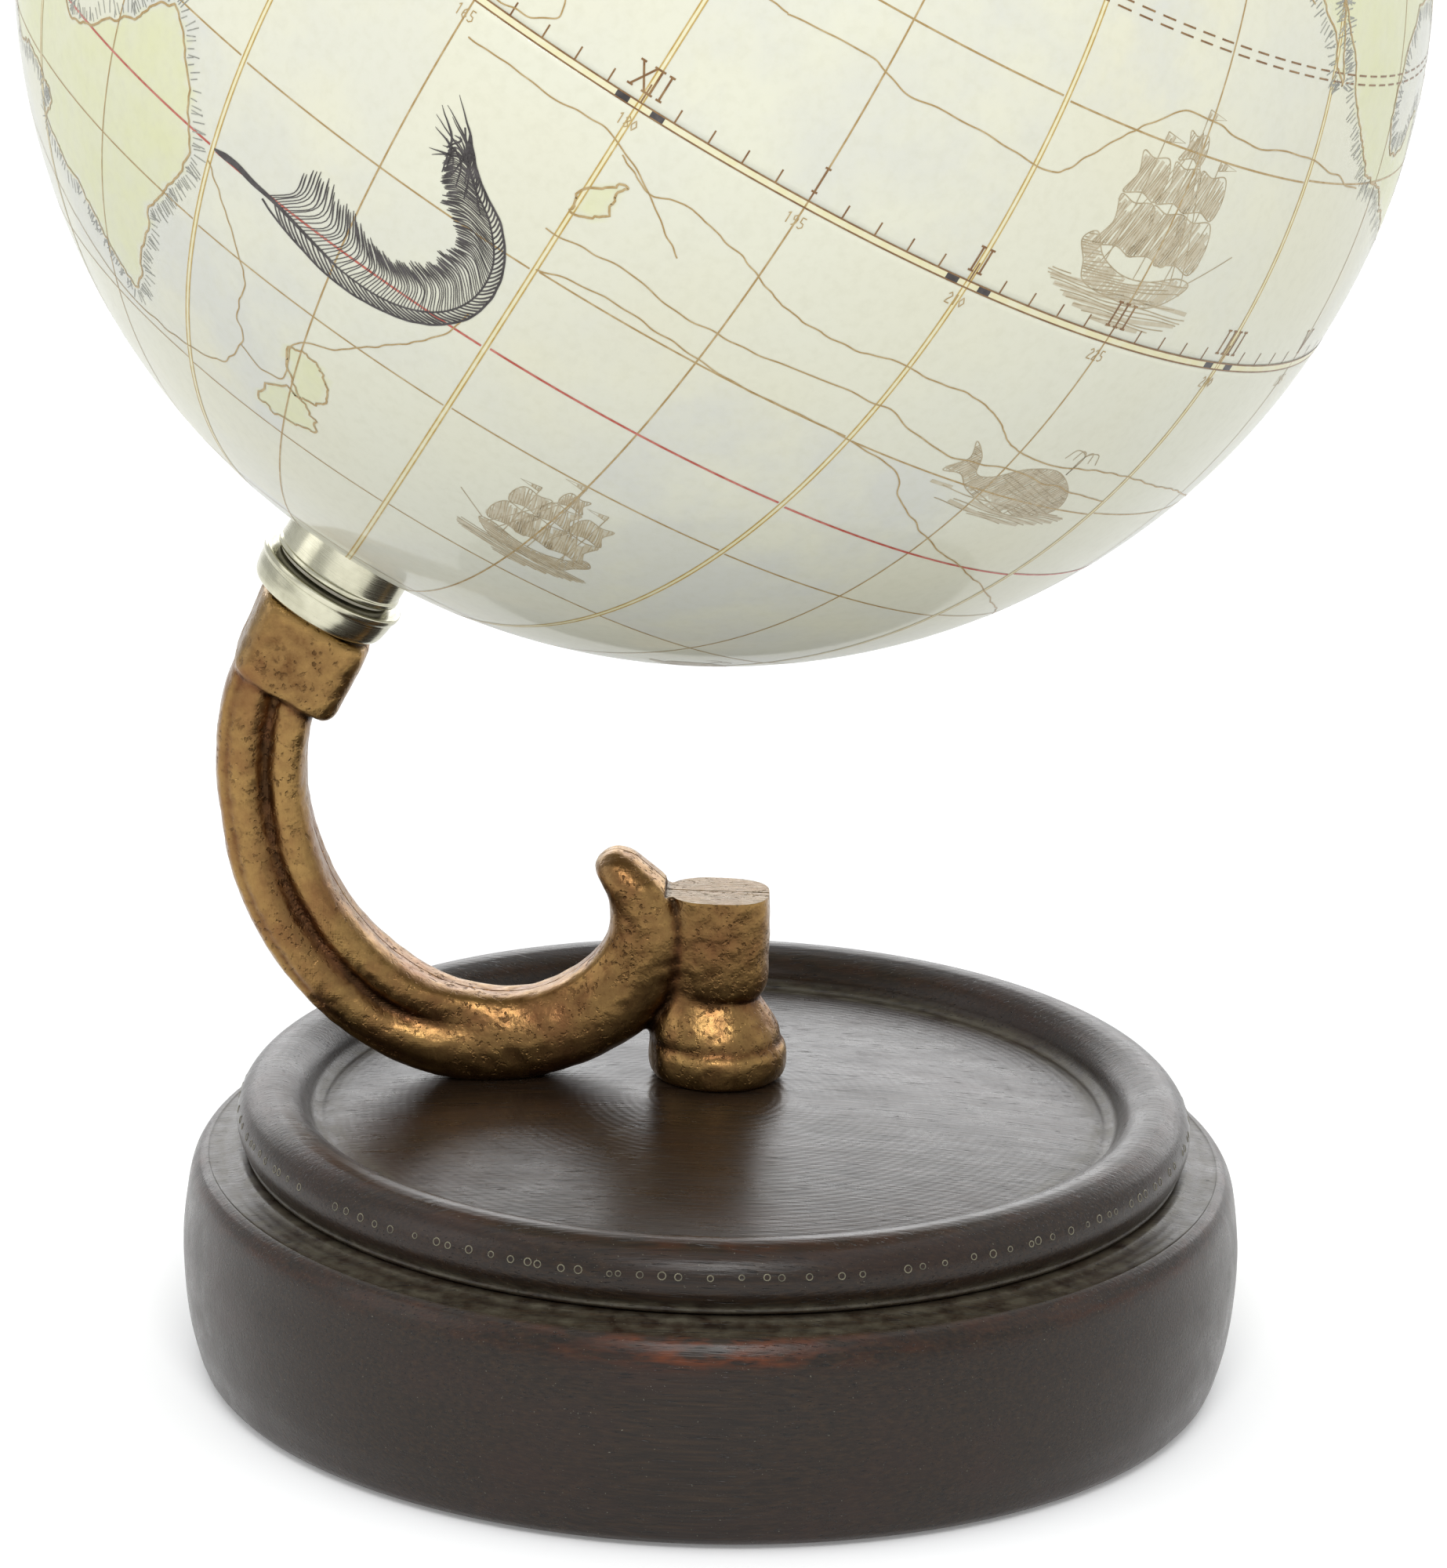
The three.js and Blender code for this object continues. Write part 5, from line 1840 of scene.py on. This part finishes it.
    def build(self, paper: bpy.types.Material, inks: dict[str, bpy.types.Material]) -> None:
        """Build the ball's halves and all its print.

        Args:
            paper: Finish of the ball.
            inks: Finishes by the name of the ink.
        """
        ball = self.ball
        lands = self.lands()
        for name, hole, side, node in (("globe_half_south", 10.3, -1, "globe_south_half"),
                                       ("globe_half_north", 6.8, 1, "globe_north_half")):
            dress(ball.shell(name, hole, side, lands), paper, Body.GLOBE, Slot.PRINT, node)
        seams = [ball.meridian(30.0 * i, self.south_end, self.north_end) for i in range(12)]
        edges = []
        for i, seam in enumerate(seams):
            squash = np.cos(np.radians(seam[:, 0])).clip(0.08)
            edges += [seam + np.stack([0 * squash, s * self.seam_edge / squash], axis=1) for s in (-1, 1)]
        parts = [("gore_bands", seams, 0.56, "gore_band", 0.02),
                 ("gore_edges", edges, 0.22, "ochre_light", 0.035)]
        lines = [ball.meridian(15.0 + 30.0 * i, self.south_end + 3, self.north_end - 3) for i in range(12)]
        for north in (ball.parallel, 2 * ball.parallel, 3 * ball.parallel, 66.5):
            lines += ball.parallel_lines(north) + ball.parallel_lines(-north)
        lines += ball.parallel_lines(79.0)
        parts.append(("graticule_lines", lines, self.fine, "ochre", 0.03))
        around = [np.stack([np.full(40, v), e + np.linspace(0, 30, 40)], 1)
                  for e in np.arange(12) * 30.0 for v in (-0.3, 0.3)]
        ticks = [np.array([(0.36, e), (0.36 + (1.15 if e % 15 else 1.6), e)]) for e in np.arange(0, 360, 3.0)]
        belt = np.stack([np.zeros(361), np.arange(361.0)], 1)
        parts.append(("equator_band", [belt], 1.0, "gore_band", 0.025))
        parts.append(("equator_lines", around + ticks, 0.24, "brown", 0.04))
        blocks = [np.stack([np.zeros(6), e + s + np.linspace(0, 1.15, 6)], 1)
                  for e in np.arange(0, 360, 30.0) for s in (-2.0, 1.1)]
        parts.append(("equator_blocks", blocks, 0.85, "black", 0.05))
        parts.append(("hour_numerals", self.numerals(), 0.3, "brown", 0.05))
        parts.append(("degree_figures", self.figures(), 0.16, "ochre", 0.05))
        parts.append(("southern_tropic_line", ball.parallel_lines(-ball.tropic), 0.36, "red", 0.045))
        dashes = [np.stack([np.full(5, v), e + np.linspace(0, 1.5, 5)], 1)
                  for e in np.arange(0, 360, 2.4) for v in (ball.tropic - 0.35, ball.tropic + 0.35)]
        parts.append(("northern_tropic_dashes", dashes, 0.26, "brown", 0.045))
        coasts = [np.vstack([land, land[:1]]) for land in lands]
        parts.append(("coast_lines", coasts, 0.34, "ochre", 0.06))
        parts.append(("coast_strokes", self.combs(lands), 0.16, "slate", 0.05))
        parts.append(("voyage_lines", self.routes(), 0.22, "ochre", 0.055))
        for name, lines, width, ink, lift in parts:
            dress(ball.ribbons("print_" + name, lines, width, lift), inks[ink], Body.GLOBE, Slot.PRINT)
        lines, widths = self.quill()
        dress(ball.ribbons("print_quill", lines, widths, 0.07), inks["black"], Body.GLOBE, Slot.PRINT)
        drawings = [
            self.ship((4.6, 44), 13.5, 1, 100), self.ship((-43.5, 15.5), 10.0, -1, 200),
            self.ship((-42, 152), 12.0, -1, 300), self.ship((32, -18), 12.0, 1, 400),
            self.ship((-22, -118), 13.0, 1, 500), self.ship((38, 140), 10.0, 1, 600),
            self.whale((-16.5, 48), 13.0, -1, 700), self.whale((18, -22), 11.0, 1, 720),
            self.whale((-55, 60), 9.0, 1, 740), self.whale((-14, 158), 11.0, -1, 760),
        ]
        fine = [line for drawing in drawings for line in drawing[0]]
        wash = [line for drawing in drawings for line in drawing[1]]
        dress(ball.ribbons("print_engraving_wash", wash, 0.62, 0.022), inks["sand"], Body.GLOBE, Slot.PRINT)
        dress(ball.ribbons("print_engraving_lines", fine, 0.17, 0.027), inks["tan"], Body.GLOBE, Slot.PRINT)
        rose = self.compass((-38, -150), 8.0) + self.compass((20, 152), 7.0)
        dress(ball.ribbons("print_compass_roses", rose, 0.2, 0.065), inks["slate"], Body.GLOBE, Slot.PRINT)


# ---- studio ----


@dataclass
class Studio:
    """Plain pale floor, large soft lights and the camera."""

    place: Triple = (47.1, -1566.5, 608.1)
    pitch: float = 18.294  # degrees down
    yaw: float = -1.715
    roll: float = 1.450
    lens: float = 260.75

    def camera(self) -> None:
        """Add the camera at its place and angles."""
        pitch, yaw, roll = (math.radians(a) for a in (self.pitch, self.yaw, self.roll))
        ahead = Vector((math.sin(yaw) * math.cos(pitch), math.cos(yaw) * math.cos(pitch), -math.sin(pitch)))
        right = ahead.cross(Vector((0, 0, 1))).normalized()
        up = right.cross(ahead)
        side = math.cos(roll) * right + math.sin(roll) * up
        top = -math.sin(roll) * right + math.cos(roll) * up
        data = bpy.data.cameras.new("camera")
        data.lens = self.lens
        data.sensor_width = 36.0
        data.clip_start = 0.05
        data.clip_end = 20.0
        camera = bpy.data.objects.new("camera", data)
        turn = Matrix((side, top, -ahead)).transposed().to_4x4()
        camera.matrix_world = Matrix.Translation(Vector(self.place) * MM) @ turn
        bpy.context.scene.collection.objects.link(camera)
        bpy.context.scene.camera = camera

    def floor(self) -> None:
        """Add a wide disc of pale matt board under the stand."""
        r = Recipe("pale_matt_board")
        tone = r.add("ValToRGB", inputs={"Fac": r.cloud((220.0, 220.0, 220.0))},
                     stops=[(0.0, "#f6f6f5"), (1.0, "#fbfbfb")])
        # a slight glow keeps the board white where the lights fall off
        material = r.finish(Base_Color=tone, Roughness=0.9, Specular_IOR_Level=0.1,
                            Emission_Color=srgb("#ffffff"), Emission_Strength=0.16)
        radius = np.array([0, 400, 1200, 3000, 9000.0])
        profile = np.stack([radius[::-1], np.full(5, -0.05)], axis=1)
        board = lathe("studio_floor", profile, 64)
        board.data.materials.append(material)
        board.visible_diffuse = False  # the white board lights the ball no more than the room does

    def light(self, name: str, at: Triple, size: tuple[float, float], power: float,
              sheen_only: bool = False) -> None:
        """Add a soft rectangular white light that faces the object.

        Args:
            name: Name of the light.
            at: Its place in metres.
            size: Its width and height in metres.
            power: Its power in watts.
            sheen_only: True for a card that shows in the gloss and lights nothing else.
        """
        data = bpy.data.lights.new(name, "AREA")
        data.shape = "RECTANGLE"
        data.size, data.size_y = size
        data.energy = power
        lamp = bpy.data.objects.new(name, data)
        lamp.location = at
        lamp.visible_diffuse = not sheen_only
        aim = Vector((0, 0, 0.13)) - Vector(at)
        lamp.rotation_euler = aim.to_track_quat("-Z", "Y").to_euler()
        bpy.context.scene.collection.objects.link(lamp)

    def build(self) -> None:
        """Add floor, lights, surroundings and camera."""
        self.camera()
        self.floor()
        world = bpy.data.worlds.new("studio")
        world.use_nodes = True
        back = world.node_tree.nodes["Background"]
        back.inputs["Color"].default_value = srgb("#f4f6f8")
        back.inputs["Strength"].default_value = 0.8
        bpy.context.scene.world = world
        self.light("top_softbox", (0.0, 0.25, 1.7), (2.0, 1.6), 9.0)
        self.light("left_softbox", (-1.7, -0.6, 0.9), (1.1, 1.3), 5.0)
        self.light("right_softbox", (1.7, -0.1, 1.0), (1.1, 1.3), 2.0)
        self.light("front_softbox", (0.1, -1.55, 1.55), (0.8, 0.6), 17.0)
        self.light("back_softbox", (0.1, 1.9, 0.7), (3.4, 1.0), 28.0, sheen_only=True)
        view = bpy.context.scene.view_settings
        view.view_transform = "Standard"
        view.look = "None"


def main() -> None:
    """Load the frame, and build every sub-assembly in order."""
    logging.basicConfig(level=logging.INFO, format="%(name)s: %(message)s", stream=sys.stdout)
    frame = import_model()
    layout = Layout.read(frame)
    log.info("axle leans %.1f degrees, ball radius %.2f mm", math.degrees(layout.tilt), layout.ball_radius)

    wood, bronze, metal = StainedWood().make(), CastBronze().make(), TurnedMetal().make()
    steel, nylon, felt = PlatedSteel().make(), MouldedNylon().make(), PressedFelt().make()
    wax = PrintInk("dried_grey_wax", "#7d7763", "#514d40").make()
    ball = Ball(layout)
    paper = LacqueredMap().make(tuple((layout.centre * MM).tolist()), layout.tilt, math.radians(ball.twelve),
                                math.radians(ball.parallel))
    inks = {
        "ochre": PrintInk("ochre_printing_ink", "#ab8d58", "#c4ad80").make(),
        "ochre_light": PrintInk("pale_ochre_printing_ink", "#bd9c50", "#cfb77a").make(),
        "gore_band": PrintInk("straw_printing_ink", "#eae3b6", "#ece8c8").make(),
        "brown": PrintInk("sepia_printing_ink", "#7b5733", "#9a7a50").make(),
        "black": PrintInk("lamp_black_printing_ink", "#35302f", "#55504f").make(),
        "red": PrintInk("madder_printing_ink", "#b8503f", "#cf8272").make(),
        "slate": PrintInk("slate_printing_ink", "#8d8d84", "#b4b4a6").make(),
        "tan": PrintInk("umber_printing_ink", "#ab9a79", "#c3b596").make(),
        "sand": PrintInk("pale_umber_printing_ink", "#c6bb9f", "#d0c8b0").make(),
    }
    base = Base(layout)
    base.build(wood, felt, wax)
    Arm(layout, base).build(bronze)
    AxleFittings(layout).build(metal, steel, nylon)
    MapPrint(ball).build(paper, inks)

    kept = dict.fromkeys(["tier_screw_1", "tier_screw_2", "tier_screw_3", "arm_bolt", "arm_bolt_washer",
                          "belly_screw", "belly_screw_washer", "axle_rod", "axle_lock_nut"], steel)
    kept |= dict.fromkeys(["equator_ring", "south_bush", "north_bush"], nylon)
    for name, material in kept.items():
        node = frame["nodes"][name]
        if not node.data.materials:
            node.data.materials.append(material)
        for place in node.material_slots:
            place.material = material
    Studio().build()


if __name__ == "__main__":
    main()
